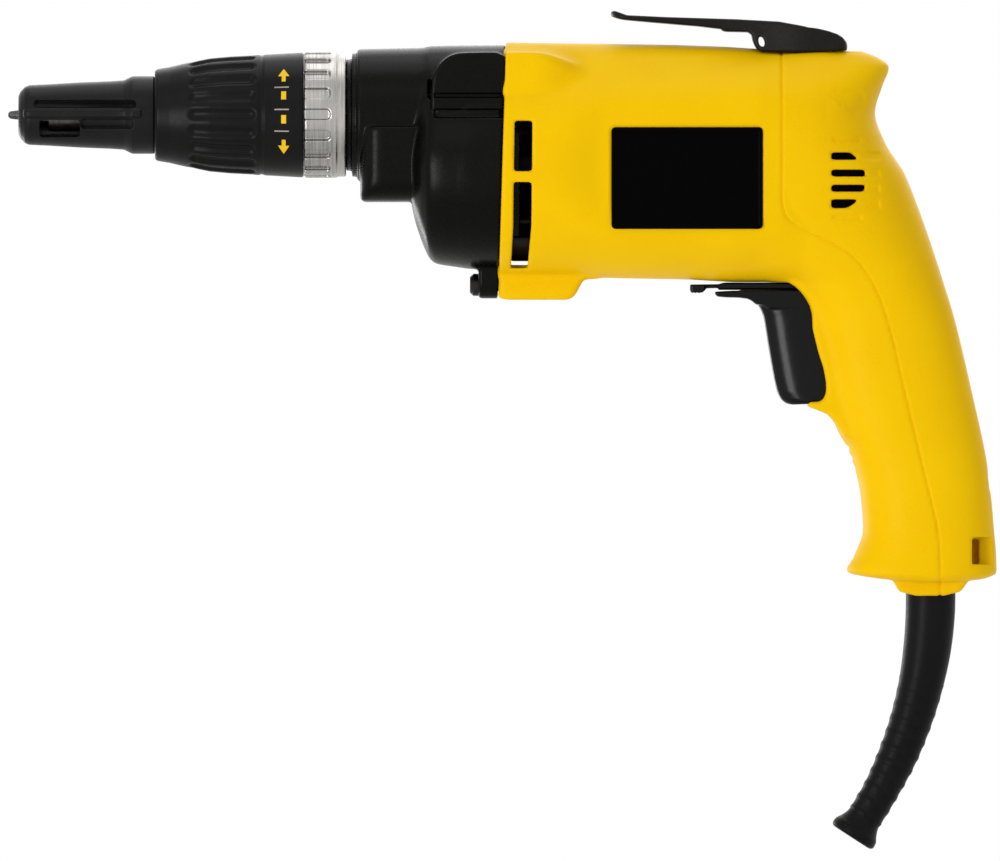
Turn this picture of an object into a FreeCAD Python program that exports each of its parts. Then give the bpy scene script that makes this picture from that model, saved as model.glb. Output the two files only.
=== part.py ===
import FreeCAD, Part
import math
import os
import re
import Sketcher

Vector = FreeCAD.Vector
Rotation = FreeCAD.Rotation
Placement = FreeCAD.Placement

doc = FreeCAD.newDocument("DrywallScrewdriver")
sheet = doc.addObject("Spreadsheet::Sheet", "Sizes")

# Driving sizes in millimetres, counts and degrees, one group for each region of the tool
SIZES = {
    "Stations along the spindle axis, from the nose face back": {
        "nose_length": 41.6,
        "collar_length": 45.1,
        "collar_gap": 0.5,
        "ring_length": 12.7,
        "neck_groove_length": 1.8,
        "neck_flange_length": 1.6,
        "neck_length": 22.0,
        "case_length": 23.3,
        "housing_length": 84.0,
        "motor_drop": 16.0,
    },
    "Clearances": {
        "seat_gap": 0.03,
        "run_gap": 0.06,
        "part_gap": 0.4,
        "seam_gap": 0.3,
        "overrun": 3.0,
    },
    "Screwdriver bit, holder and magnet": {
        "bit_reach": 3.2,
        "bit_length": 25.0,
        "bit_hex_length": 15.0,
        "bit_across": 6.35,
        "bit_point_radius": 0.7,
        "bit_point_length": 1.8,
        "bit_tip_radius": 1.5,
        "bit_taper_length": 4.8,
        "holder_radius": 5.0,
        "holder_setback": 2.5,
        "holder_length": 30.7,
        "shank_length": 15.0,
        "magnet_radius": 2.6,
        "magnet_length": 5.0,
    },
    "Nosepiece": {
        "nose_mouth_radius": 4.5,
        "nose_tip_radius": 5.8,
        "nose_tip_length": 2.9,
        "nose_front_radius": 8.9,
        "nose_mid_radius": 10.5,
        "nose_rear_radius": 11.9,
        "nose_rear_length": 7.6,
        "nose_step_length": 3.0,
        "nose_lip": 4.0,
        "nose_bore_radius": 6.7,
        "nose_skirt_length": 8.6,
        "nose_skirt_radius": 11.3,
        "nose_rib_height": 2.2,
        "nose_rib_proud": 0.8,
        "nose_groove_height": 1.9,
        "nose_groove_depth": 1.4,
        "nose_window_length": 12.3,
        "nose_window_height": 5.2,
        "nose_window_start": 6.5,
        "snap_ring_width": 1.4,
        "snap_ring_depth": 0.9,
        "snap_ring_setback": 2.4,
    },
    "Depth collar": {
        "collar_front_radius": 13.5,
        "collar_brow_radius": 15.8,
        "collar_waist_radius": 17.5,
        "collar_flute_radius": 18.4,
        "collar_rear_radius": 19.1,
        "collar_front_length": 10.1,
        "collar_brow_length": 6.7,
        "flute_length": 20.4,
        "flute_cut_radius": 2.3,
        "flute_depth": 1.2,
        "flute_count": 20,
        "click_spring_width": 2.0,
        "click_spring_thickness": 1.2,
        "click_spring_setback": 5.0,
    },
    "Sleeve and detent ring": {
        "sleeve_radius": 13.0,
        "sleeve_bore_radius": 10.5,
        "sleeve_seat_length": 12.0,
        "ring_radius": 19.2,
        "ring_slot_count": 18,
        "ring_slot_width": 1.5,
        "ring_slot_length": 7.9,
        "ring_slot_depth": 1.6,
        "ring_band_length": 2.7,
        "ring_band_step": 0.35,
    },
    "Spindle, clutch and drive gear": {
        "spindle_radius": 6.0,
        "seal_length": 4.0,
        "bush_length": 16.0,
        "clutch_radius": 11.0,
        "clutch_length": 5.0,
        "clutch_gap": 2.0,
        "push_travel": 3.0,
        "spindle_dog_height": 3.0,
        "gear_dog_height": 2.7,
        "dog_inner_radius": 7.8,
        "dog_angle": 40,
        "dog_count": 3,
        "tail_radius": 4.0,
        "gear_width": 9.0,
        "gear_teeth": 40,
        "pinion_teeth": 10,
        "washer_length": 1.2,
        "washer_radius": 8.0,
        "tail_hub_rise": 3.0,
        "tail_hub_radius": 8.6,
        "tail_bearing_radius": 5.6,
        "clutch_spring_wire": 0.55,
        "clutch_spring_radius": 5.6,
        "clutch_spring_turns": 4,
    },
    "Gear case": {
        "neck_groove_radius": 17.0,
        "neck_flange_radius": 18.8,
        "neck_front_radius": 20.1,
        "neck_radius": 20.6,
        "neck_bore_radius": 15.0,
        "boss_radius": 11.2,
        "boss_length": 20.8,
        "boss_side": 10.2,
        "boss_round": 2.4,
        "boss_bore_radius": 8.0,
        "case_low_radius": 30.6,
        "case_wall": 2.8,
        "case_round": 3.0,
        "shoulder_half_width": 24.5,
        "shoulder_top": 18.9,
        "shoulder_bottom": 0.5,
        "shoulder_setback": 1.2,
        "shoulder_corner": 7.6,
        "ear_length": 8.3,
        "ear_half_width": 6.0,
        "ear_bottom": 56.2,
    },
    "Screws": {
        "screw_radius": 2.0,
        "screw_head_radius": 3.4,
        "screw_head_length": 2.6,
        "upper_screw_side": 20.0,
        "upper_screw_rise": 8.0,
        "lower_screw_drop": 51.8,
        "screw_boss_radius": 4.0,
        "case_boss_length": 11.0,
    },
    "Bearing plate and bearings": {
        "plate_setback": 6.6,
        "plate_thickness": 4.0,
        "front_bearing_radius": 9.5,
        "front_bearing_width": 7.0,
        "bearing_hub_wall": 2.5,
        "rear_bearing_radius": 9.5,
        "rear_bearing_width": 6.0,
        "bearing_shield_depth": 0.5,
        "bearing_shield_share": 0.32,
    },
    "Armature, from the housing's front edge back": {
        "shaft_radius": 4.0,
        "journal_radius": 3.0,
        "fan_setback": 2.9,
        "fan_length": 7.0,
        "fan_disc_thickness": 1.5,
        "fan_radius": 25.5,
        "fan_hub_radius": 10.0,
        "fan_blade_thickness": 1.4,
        "fan_blade_count": 11,
        "baffle_gap": 2.0,
        "baffle_thickness": 1.5,
        "baffle_hole_radius": 19.0,
        "core_setback": 21.4,
        "core_length": 36.0,
        "core_radius": 17.0,
        "core_slot_count": 12,
        "core_slot_width": 2.2,
        "core_slot_depth": 6.5,
        "armature_coil_length": 5.5,
        "armature_coil_radius": 15.0,
        "commutator_gap": 1.5,
        "commutator_length": 12.0,
        "commutator_radius": 11.0,
        "commutator_bar_count": 24,
        "commutator_slit_width": 0.5,
        "commutator_slit_depth": 1.0,
        "rear_bearing_gap": 4.5,
        "air_gap": 0.5,
    },
    "Field and brushes": {
        "window_angle": 70,
        "window_depth": 6.5,
        "coil_overhang": 6.5,
        "coil_split_angle": 8,
        "bracket_thickness": 3.0,
        "bracket_half_height": 10.0,
        "bracket_shaft_gap": 1.0,
        "holder_half_width": 5.0,
        "brush_holder_half_height": 4.2,
        "brush_holder_wall": 1.3,
        "brush_holder_length": 13.2,
        "brush_holder_gap": 1.0,
        "brush_length": 8.5,
        "brush_contact_gap": 0.05,
        "brush_spring_wire": 0.3,
        "brush_spring_radius": 2.0,
        "brush_spring_turns": 5,
    },
    "Motor housing barrel": {
        "barrel_low_radius": 33.6,
        "barrel_high_radius": 21.8,
        "barrel_wall": 2.8,
        "barrel_flat": 29.5,
        "flat_setback": 25.7,
        "flat_top": 0.9,
        "lug_length": 22.7,
        "lug_half_width": 7.0,
        "lug_bottom": 56.4,
        "lug_slope": 5.0,
        "front_vent_setback": 2.5,
        "front_vent_width": 5.5,
        "upper_vent_top": 2.1,
        "upper_vent_bottom": 17.4,
        "lower_vent_top": 20.7,
        "lower_vent_bottom": 46.4,
        "plate_front_setback": 32.1,
        "plate_length": 46.1,
        "plate_top": 4.0,
        "plate_height": 31.0,
        "plate_sheet": 0.9,
        "plate_recess": 0.5,
    },
    "Head and grip": {
        "head_top": 19.4,
        "handle_height": 161.8,
        "handle_reach": 65.7,
        "grip_wall": 2.8,
        "seam_drop": 32.0,
        "seam_reach": 48.4,
        "foot_setback": 45.6,
        "foot_length": 22.8,
        "foot_width": 22.0,
        "foot_height": 4.3,
        "rear_vent_setback": 15.2,
        "rear_vent_length": 8.2,
        "rear_vent_height": 1.9,
        "rear_vent_top": 12.8,
        "rear_vent_pitch": 4.75,
        "rear_vent_count": 4,
        "rear_vent_inner": 10.0,
        "lanyard_length": 8.5,
        "lanyard_height": 8.5,
        "lanyard_drop": 129.0,
        "lanyard_tongue": 7.4,
        "cover_screw_side": 20.0,
        "cover_screw_rise": 4.0,
        "cover_screw_drop": 112.0,
        "cover_boss_length": 10.0,
        "cover_head_depth": 3.2,
    },
    "Trigger, lever and switch": {
        "trigger_front": 14.1,
        "trigger_top_drop": 53.7,
        "trigger_height": 34.8,
        "trigger_depth": 31.0,
        "trigger_half_width": 8.2,
        "trigger_travel": 6.0,
        "plunger_radius": 3.0,
        "plunger_length": 12.0,
        "plunger_drop": 72.0,
        "trigger_spring_wire": 0.5,
        "trigger_spring_radius": 4.6,
        "trigger_spring_turns": 4,
        "switch_length": 17.0,
        "switch_half_width": 9.5,
        "switch_top_drop": 54.5,
        "switch_height": 35.5,
        "tongue_length": 15.0,
        "tongue_height": 2.6,
        "tongue_half_width": 5.0,
        "lever_length": 41.0,
        "lever_thickness": 2.1,
        "lever_half_width": 3.5,
        "lever_knob_length": 4.3,
        "lever_knob_drop": 1.1,
        "lever_knob_half_width": 5.0,
        "lever_thin": 0.8,
        "lever_thin_length": 9.2,
        "lever_eye_radius": 4.2,
        "pivot_radius": 2.0,
        "pivot_setback": 11.0,
        "cradle_thickness": 2.0,
        "cradle_half_width": 6.0,
    },
    "Belt hook": {
        "hook_length": 72.9,
        "hook_height": 13.0,
        "hook_half_width": 8.5,
        "hook_back": 20.6,
        "hook_seat": 21.8,
        "hook_screw_spread": 6.0,
        "hook_screw_inset": 12.0,
        "hook_screw_length": 9.0,
    },
    "Cord guard and clamp": {
        "guard_bend_radius": 123.0,
        "guard_bend_angle": 33,
        "guard_top_radius": 7.6,
        "guard_end_radius": 5.5,
        "guard_bore_radius": 4.0,
        "guard_rim_radius": 7.2,
        "guard_rim_length": 3.0,
        "guard_mouth_length": 8.0,
        "guard_collar_radius": 10.0,
        "guard_collar_length": 3.0,
        "clamp_half_length": 11.5,
        "clamp_thickness": 4.0,
        "clamp_height": 6.0,
        "clamp_drop": 127.0,
        "clamp_screw_side": 8.2,
        "clamp_screw_length": 9.0,
        "clamp_screw_radius": 1.5,
        "clamp_head_radius": 2.6,
        "clamp_head_length": 1.8,
        "clamp_post_radius": 3.0,
    },
}

row = 0
for heading, group in SIZES.items():
    row += 1
    sheet.set(f"A{row}", heading)
    for alias, number in group.items():
        row += 1
        sheet.set(f"A{row}", alias)
        sheet.set(f"B{row}", str(number))
        sheet.setAlias(f"B{row}", alias)
doc.recompute()

ALIASES = {alias for group in SIZES.values() for alias in group}
WORD = re.compile(r"[a-z][a-z_]*")


def full(text):
    """Write a size expression out with the sheet's name before each alias."""
    return WORD.sub(lambda word: "Sizes." + word[0] if word[0] in ALIASES else word[0], text)


def value(text):
    """Work out a size expression from the sheet."""
    return float(sheet.evalExpression(full(text)))


# Stations worked out from the driving sizes
COLLAR_BACK = "(nose_length + collar_length)"
RING_FRONT = f"({COLLAR_BACK} + collar_gap)"
RING_BACK = f"({RING_FRONT} + ring_length)"
FLANGE_FRONT = f"({RING_BACK} + neck_groove_length)"
NECK_FRONT = f"({FLANGE_FRONT} + neck_flange_length)"
CASE_FRONT = f"({NECK_FRONT} + neck_length)"
CASE_BACK = f"({CASE_FRONT} + case_length)"
SEAM = f"({CASE_BACK} + housing_length)"

BIT_BACK = "(bit_length - bit_reach)"
BIT_SHOULDER = f"({BIT_BACK} - bit_hex_length)"
HOLDER_FRONT = f"({BIT_SHOULDER} + holder_setback)"
HOLDER_BACK = f"({HOLDER_FRONT} + holder_length)"
SKIRT_BACK = "(nose_length + nose_skirt_length)"
SLEEVE_FRONT = f"({SKIRT_BACK} + part_gap)"
SLEEVE_BACK = f"({RING_BACK} + sleeve_seat_length)"
BUSH_FRONT = f"({SLEEVE_FRONT} + seal_length)"

PLATE_FRONT = f"({CASE_BACK} - plate_setback)"
PLATE_BACK = f"({PLATE_FRONT} + plate_thickness)"
PLATE_MID = f"({PLATE_FRONT} + plate_thickness / 2)"
TAIL_HUB_FRONT = f"({PLATE_FRONT} - tail_hub_rise)"
WASHER_FRONT = f"({TAIL_HUB_FRONT} - washer_length)"
GEAR_BACK = f"({WASHER_FRONT} - run_gap)"
GEAR_FRONT = f"({GEAR_BACK} - gear_width)"
CLUTCH_BACK = f"({GEAR_FRONT} - gear_dog_height - clutch_gap - spindle_dog_height)"
CLUTCH_FRONT = f"({CLUTCH_BACK} - clutch_length)"
TAIL_BACK = f"({PLATE_BACK} - push_travel - part_gap)"

GEAR_MODULE = "(2 * motor_drop / (gear_teeth + pinion_teeth))"
FAN_FRONT = f"({CASE_BACK} + fan_setback)"
FAN_BACK = f"({FAN_FRONT} + fan_length)"
BAFFLE_FRONT = f"({FAN_BACK} + baffle_gap)"
CORE_FRONT = f"({CASE_BACK} + core_setback)"
CORE_BACK = f"({CORE_FRONT} + core_length)"
COMMUTATOR_FRONT = f"({CORE_BACK} + armature_coil_length + commutator_gap)"
COMMUTATOR_BACK = f"({COMMUTATOR_FRONT} + commutator_length)"
COMMUTATOR_MID = f"({COMMUTATOR_FRONT} + commutator_length / 2)"
REAR_BEARING_FRONT = f"({COMMUTATOR_BACK} + rear_bearing_gap)"
REAR_BEARING_BACK = f"({REAR_BEARING_FRONT} + rear_bearing_width)"
BRACKET_FRONT = f"({REAR_BEARING_FRONT} - bracket_thickness)"
FIELD_RADIUS = "(barrel_low_radius - barrel_wall - part_gap)"
INNER_FLAT = "(barrel_flat - barrel_wall)"
FLAT_FRONT = f"({CASE_BACK} + flat_setback)"

HANDLE_BACK = f"({SEAM} + handle_reach)"
GRIP_BOTTOM = "(head_top - handle_height)"
TRIGGER_FRONT = f"({SEAM} - trigger_front)"
TRIGGER_BACK = f"({TRIGGER_FRONT} + trigger_depth)"
SWITCH_FRONT = f"({TRIGGER_BACK} + trigger_travel + part_gap)"
SWITCH_BACK = f"({SWITCH_FRONT} + switch_length)"
PIVOT = f"({SWITCH_FRONT} - pivot_setback)"
LEVER_BOTTOM = "(-trigger_top_drop + part_gap)"
LEVER_TOP = f"({LEVER_BOTTOM} + lever_thickness)"
HOOK_BACK = f"({SEAM} + hook_back)"
FOOT_X = f"({SEAM} + foot_setback)"
FOOT_HALF_LENGTH = "(foot_length / 2 - foot_height / 3)"
FOOT_HALF_WIDTH = "(foot_width / 2 - foot_height / 3)"
FOOT_BOTTOM = f"({GRIP_BOTTOM} - foot_height)"


def bind(thing, **sizes):
    """Bind properties of an object to size expressions."""
    for name, text in sizes.items():
        thing.setExpression(name, full(text))
    return thing


def place(thing, x="0", y="0", z="0", turn=None):
    """Put an object at a bound position, turned first where a rotation is given."""
    if turn:
        thing.Placement = Placement(Vector(), turn)
    for axis, text in zip("xyz", (x, y, z)):
        thing.setExpression(f"Placement.Base.{axis}", full(text))
    return thing


ALONG_X = Rotation(Vector(0, 1, 0), 90)


def rod(label, front, back, radius, y="0", z="0"):
    """A round bar along X."""
    thing = bind(doc.addObject("Part::Cylinder", label), Radius=radius, Height=f"({back}) - ({front})")
    return place(thing, front, y, z, ALONG_X)


def post(label, x, y, low, high, radius):
    """A round bar along Z."""
    thing = bind(doc.addObject("Part::Cylinder", label), Radius=radius, Height=f"({high}) - ({low})")
    return place(thing, x, y, low)


def hexagon(label, front, back, across):
    """A hexagonal bar along X, given by its width across flats."""
    thing = bind(
        doc.addObject("Part::Prism", label), Circumradius=f"{across} / sqrt(3)",
        Height=f"({back}) - ({front})",
    )
    thing.Polygon = 6
    return place(thing, front, turn=ALONG_X)


def block(label, x, y, z):
    """A box between pairs of bound coordinates."""
    thing = doc.addObject("Part::Box", label)
    bind(
        thing, Length=f"({x[1]}) - ({x[0]})", Width=f"({y[1]}) - ({y[0]})", Height=f"({z[1]}) - ({z[0]})",
    )
    return place(thing, x[0], y[0], z[0])


def both_sides(inner, outer):
    """The two Y spans, one on each side, between an inner and an outer distance from the middle plane."""
    return (f"-{outer}", f"-{inner}"), (inner, outer)


def fuse(label, shapes):
    """Join solids into one."""
    thing = doc.addObject("Part::MultiFuse", label)
    thing.Shapes = shapes
    thing.Refine = True
    return thing


def common(label, shapes):
    """What all the solids share."""
    thing = doc.addObject("Part::MultiCommon", label)
    thing.Refine = False
    thing.Shapes = shapes
    return thing


def cut(label, base, tools):
    """Take solids away from a base."""
    thing = doc.addObject("Part::Cut", label)
    thing.Refine = False
    thing.Base = base
    thing.Tool = tools[0] if len(tools) == 1 else fuse(label + "_cuts", tools)
    return thing


def group(label, shapes):
    """Separate solids that share one node."""
    thing = doc.addObject("Part::Compound", label)
    thing.Links = shapes
    return thing


def solid(label, shape):
    """An object that holds a shape worked out from the sheet."""
    thing = doc.addObject("Part::Feature", label)
    thing.Shape = shape
    return thing


def origin_feature(body, role):
    """One of a body's own origin planes or axes."""
    return next(feature for feature in body.Origin.OriginFeatures if feature.Role == role)


def new_sketch(body, role, offset="0"):
    """A sketch on one of the body's origin planes, moved along its normal."""
    sketch = body.newObject("Sketcher::SketchObject", body.Label + "_sketch")
    sketch.AttachmentSupport = [(origin_feature(body, role), "")]
    sketch.MapMode = "FlatFace"
    sketch.setExpression("AttachmentOffset.Base.z", full(offset))
    return sketch


def hold(sketch, kind, where, text):
    """Add one dimension to a sketch, bound to a size expression."""
    number = sketch.addConstraint(Sketcher.Constraint(kind, *where, value(text)))
    sketch.setExpression(f"Constraints[{number}]", full(text))


def draw_outline(sketch, corners):
    """Draw a closed outline whose corners are each held by two bound distances."""
    places = [Vector(value(across), value(up), 0) for across, up in corners]
    count = len(places)
    nexts = [(index + 1) % count for index in range(count)]
    sketch.addGeometry(
        [Part.LineSegment(places[index], places[after]) for index, after in enumerate(nexts)]
    )
    joins = [Sketcher.Constraint("Coincident", index, 2, after, 1) for index, after in enumerate(nexts)]
    sketch.addConstraint(joins)
    for index, (across, up) in enumerate(corners):
        hold(sketch, "DistanceX", (-1, 1, index, 1), across)
        hold(sketch, "DistanceY", (-1, 1, index, 1), up)


def draw_egg(sketch, low_radius, high_radius):
    """Draw two arcs, about the motor axis and the spindle axis, joined by tangent lines."""
    low, high, drop = value(low_radius), value(high_radius), value("motor_drop")
    lean = math.asin((low - high) / drop)
    across, up = math.cos(lean), math.sin(lean)
    low_rim = [Vector(side * low * across, low * up - drop, 0) for side in (1, -1)]
    high_rim = [Vector(side * high * across, high * up, 0) for side in (1, -1)]
    low_circle = Part.Circle(Vector(0, -drop, 0), Vector(0, 0, 1), low)
    high_circle = Part.Circle(Vector(0, 0, 0), Vector(0, 0, 1), high)
    sketch.addGeometry([
        Part.ArcOfCircle(low_circle, math.pi - lean, 2 * math.pi + lean),
        Part.LineSegment(low_rim[0], high_rim[0]),
        Part.ArcOfCircle(high_circle, lean, math.pi - lean),
        Part.LineSegment(high_rim[1], low_rim[1]),
    ])
    sketch.addConstraint(
        [Sketcher.Constraint("Tangent", index, 2, (index + 1) % 4, 1) for index in range(4)]
    )
    sketch.addConstraint(Sketcher.Constraint("Coincident", 2, 3, -1, 1))
    sketch.addConstraint(Sketcher.Constraint("PointOnObject", 0, 3, -2))
    hold(sketch, "Radius", (0,), low_radius)
    hold(sketch, "Radius", (2,), high_radius)
    hold(sketch, "DistanceY", (0, 3, -1, 1), "motor_drop")


def new_body(label):
    """An empty body."""
    return doc.addObject("PartDesign::Body", label)


def pad(body, sketch, length, symmetric=False):
    """Extrude a sketch along its normal, or equally to both sides."""
    feature = body.newObject("PartDesign::Pad", body.Label + "_pad")
    feature.Profile = sketch
    if symmetric:
        feature.SideType = "Symmetric"
    return bind(feature, Length=length)


def pocket(body, sketch, length):
    """Cut a sketch into the body, against the sketch's normal."""
    feature = body.newObject("PartDesign::Pocket", body.Label + "_pocket")
    feature.Profile = sketch
    return bind(feature, Length=length)


def repeat(body, feature, count):
    """Repeat a feature all round the body's X axis."""
    pattern = body.newObject("PartDesign::PolarPattern", body.Label + "_pattern")
    pattern.Originals = [feature]
    pattern.Axis = (origin_feature(body, "X_Axis"), [""])
    pattern.Angle = 360
    bind(pattern, Occurrences=count)
    body.Tip = pattern
    return pattern


def turned(label, corners):
    """A body turned about the X axis from an outline of (place along X, radius) corners."""
    body = new_body(label)
    sketch = new_sketch(body, "XZ_Plane")
    draw_outline(sketch, corners)
    turn = body.newObject("PartDesign::Revolution", label + "_turn")
    turn.Profile = sketch
    turn.ReferenceAxis = (sketch, ["H_Axis"])
    turn.Angle = 360
    return body


def ring(label, front, back, inner, outer):
    """A plain turned ring."""
    return turned(label, [(front, inner), (back, inner), (back, outer), (front, outer)])


def on_motor_axis(thing):
    """Move a piece down from the spindle axis to the motor axis."""
    return place(thing, z="-motor_drop")


def egg_bar(label, front, back, low_radius, high_radius):
    """A bar along X with the egg section of gear case and barrel."""
    body = new_body(label)
    sketch = new_sketch(body, "YZ_Plane", front)
    draw_egg(sketch, low_radius, high_radius)
    pad(body, sketch, f"({back}) - ({front})")
    return body


def side_slab(label, corners, half_width):
    """A side-view outline of (X, Z) corners, as thick as twice the half width."""
    body = new_body(label)
    sketch = new_sketch(body, "XZ_Plane")
    draw_outline(sketch, corners)
    pad(body, sketch, f"2 * {half_width}", symmetric=True)
    return body


def sector(label, span, inner, outer, middle, sweep):
    """Part of a ring along X about the motor axis; angles run from straight down towards +Y."""
    front, back = span
    whole = bind(
        doc.addObject("Part::Cylinder", label + "_outside"), Radius=outer, Height=f"({back}) - ({front})",
    )
    bind(whole, Angle=sweep)
    spin = Rotation(Vector(0, 0, 1), value(f"{middle} - {sweep} / 2"))
    place(whole, front, turn=ALONG_X.multiply(spin))
    core = rod(label + "_inside", f"{front} - overrun", f"{back} + overrun", inner)
    return cut(label, whole, [core])


def coil_spring(label, length, radius, wire, turns):
    """A coil spring that stands on Z from the origin, each half turn a tilted half ring."""
    rise = f"(({length} - 2 * {wire}) / {turns} / 2)"
    tilt = math.degrees(math.atan(value(f"{rise} / 2 / {radius}")))
    half_turns = []
    for index in range(round(2 * value(turns))):
        half = bind(
            doc.addObject("Part::Torus", f"{label}_half_{index}"),
            Radius1=f"sqrt({radius} * {radius} + {rise} * {rise} / 4)", Radius2=wire, Angle3="180",
        )
        turn = Rotation(Vector(0, 1, 0), tilt)
        if index % 2:
            turn = Rotation(Vector(0, 1, 0), -tilt) * Rotation(Vector(0, 0, 1), 180)
        half_turns.append(place(half, z=f"{rise} * ({index} + 1 / 2)", turn=turn))
    return fuse(label, half_turns)


def screw(label, radius, head_radius, head_length, length):
    """A pan-head screw along X whose head ends at the origin, with a socket in the head."""
    corners = [("-" + head_length, "0"), (length, "0"), (length, radius), ("0", radius)]
    corners += [("0", head_radius), (f"-{head_length} * {HEAD_RIM_SHARE}", head_radius)]
    corners += [("-" + head_length, f"{head_radius} * {HEAD_TOP_SHARE}")]
    return turned(label, corners)


HEAD_RIM_SHARE = 0.6
HEAD_TOP_SHARE = 0.72


def share_corners(shares, x, length, z, height):
    """Outline corners given as shares of a length from x and of a height from z."""
    return [(f"{x} + {along} * {length}", f"{z} + {up} * {height}") for along, up in shares]


PIECES = []


def piece(thing):
    """List an object as a sub-part to be written out under its label."""
    PIECES.append(thing)
    return thing


# Screwdriver bit, its holder and the magnet behind it
BIT_NECK = f"({BIT_SHOULDER} - bit_taper_length)"
bit_point = turned("bit_point", [
    ("-bit_reach", "0"),
    (f"{BIT_SHOULDER} + seat_gap", "0"),
    (f"{BIT_SHOULDER} + seat_gap", "bit_across / 2"),
    (BIT_SHOULDER, "bit_across / 2"),
    (BIT_NECK, "bit_tip_radius"),
    ("-bit_reach + bit_point_length", "bit_tip_radius"),
    ("-bit_reach", "bit_point_radius"),
])
piece(fuse("screwdriver_bit", [bit_point, hexagon("bit_hex", BIT_SHOULDER, BIT_BACK, "bit_across")]))

holder_barrel = rod("holder_barrel", HOLDER_FRONT, HOLDER_BACK, "holder_radius")
SHANK_BACK = f"({HOLDER_BACK} + shank_length)"
holder_shank = hexagon("holder_shank", f"{HOLDER_BACK} - holder_setback", SHANK_BACK, "bit_across")
MAGNET_FRONT = f"({BIT_BACK} + seat_gap)"
MAGNET_BACK = f"({MAGNET_FRONT} + magnet_length)"
holder_socket = hexagon(
    "holder_socket", f"{HOLDER_FRONT} - overrun", MAGNET_FRONT, "(bit_across + 2 * run_gap)",
)
magnet_pocket = rod("magnet_pocket", BIT_BACK, f"{MAGNET_BACK} + seat_gap", "magnet_radius + seat_gap")
holder_solid = fuse("holder_solid", [holder_barrel, holder_shank])
piece(cut("bit_holder", holder_solid, [holder_socket, magnet_pocket]))
piece(rod("bit_magnet", MAGNET_FRONT, MAGNET_BACK, "magnet_radius"))

# Nosepiece: a tapered hood with side ribs, grooves and windows, and a skirt inside the collar
NOSE_STEP = "(nose_length - nose_rear_length)"
SNAP_FRONT = "(nose_length + snap_ring_setback)"
SNAP_BACK = f"({SNAP_FRONT} + snap_ring_width)"
SNAP_FLOOR = "(nose_skirt_radius - snap_ring_depth)"
nose_hood = turned("nose_hood", [
    ("0", "nose_mouth_radius"),
    ("nose_lip", "nose_mouth_radius"),
    ("nose_lip", "nose_bore_radius"),
    (SKIRT_BACK, "nose_bore_radius"),
    (SKIRT_BACK, "nose_skirt_radius"),
    (f"{SNAP_BACK} + seat_gap", "nose_skirt_radius"),
    (f"{SNAP_BACK} + seat_gap", SNAP_FLOOR),
    (f"{SNAP_FRONT} - seat_gap", SNAP_FLOOR),
    (f"{SNAP_FRONT} - seat_gap", "nose_skirt_radius"),
    ("nose_length", "nose_skirt_radius"),
    ("nose_length", "nose_rear_radius"),
    (NOSE_STEP, "nose_rear_radius"),
    (f"{NOSE_STEP} - nose_step_length", "nose_mid_radius"),
    ("nose_tip_length", "nose_front_radius"),
    ("0", "nose_tip_radius"),
])
RIB_FRONT = "(nose_window_start - nose_rib_height / 4)"
RIB_BACK = f"({NOSE_STEP} + nose_step_length / 2)"
RIB_OUTER = "(nose_mid_radius + nose_rib_proud / 2)"
rib_spans = both_sides("nose_bore_radius", RIB_OUTER)
GROOVE_FLOOR = "(nose_front_radius - nose_groove_depth)"
GROOVE_LOW = "(nose_rib_height / 2 + nose_rib_proud)"
window_spans = both_sides("nose_mouth_radius", "(nose_rear_radius + overrun)")
groove_spans = both_sides(GROOVE_FLOOR, "(nose_rear_radius + overrun)")
nose_ribs = []
nose_cuts = []
for side in range(2):
    rib_heights = ("-nose_rib_height / 2", "nose_rib_height / 2")
    nose_ribs.append(block(f"nose_rib_{side}", (RIB_FRONT, RIB_BACK), rib_spans[side], rib_heights))
    window_heights = (
        "-nose_rib_height / 2 - nose_rib_proud - nose_window_height",
        "-nose_rib_height / 2 - nose_rib_proud",
    )
    window_reach = ("nose_window_start", "nose_window_start + nose_window_length")
    nose_cuts.append(block(f"nose_window_{side}", window_reach, window_spans[side], window_heights))
    groove_reach = ("nose_window_start + nose_groove_height", NOSE_STEP)
    groove_heights = (GROOVE_LOW, f"{GROOVE_LOW} + nose_groove_height")
    nose_cuts.append(block(f"nose_groove_{side}", groove_reach, groove_spans[side], groove_heights))
nose_ribbed = fuse("nose_ribbed", [nose_hood] + nose_ribs)
piece(cut("nosepiece", nose_ribbed, nose_cuts))

snap_hoop = ring("snap_hoop", SNAP_FRONT, SNAP_BACK, f"{SNAP_FLOOR} + seat_gap", "nose_skirt_radius")
snap_heights = ("-nose_rib_height / 2", "nose_rib_height / 2")
snap_mouth = block(
    "snap_mouth", (f"{SNAP_FRONT} - overrun", f"{SNAP_BACK} + overrun"), ("0", "nose_rear_radius"),
    snap_heights,
)
piece(cut("nosepiece_snap_ring", snap_hoop, [snap_mouth]))

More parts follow.
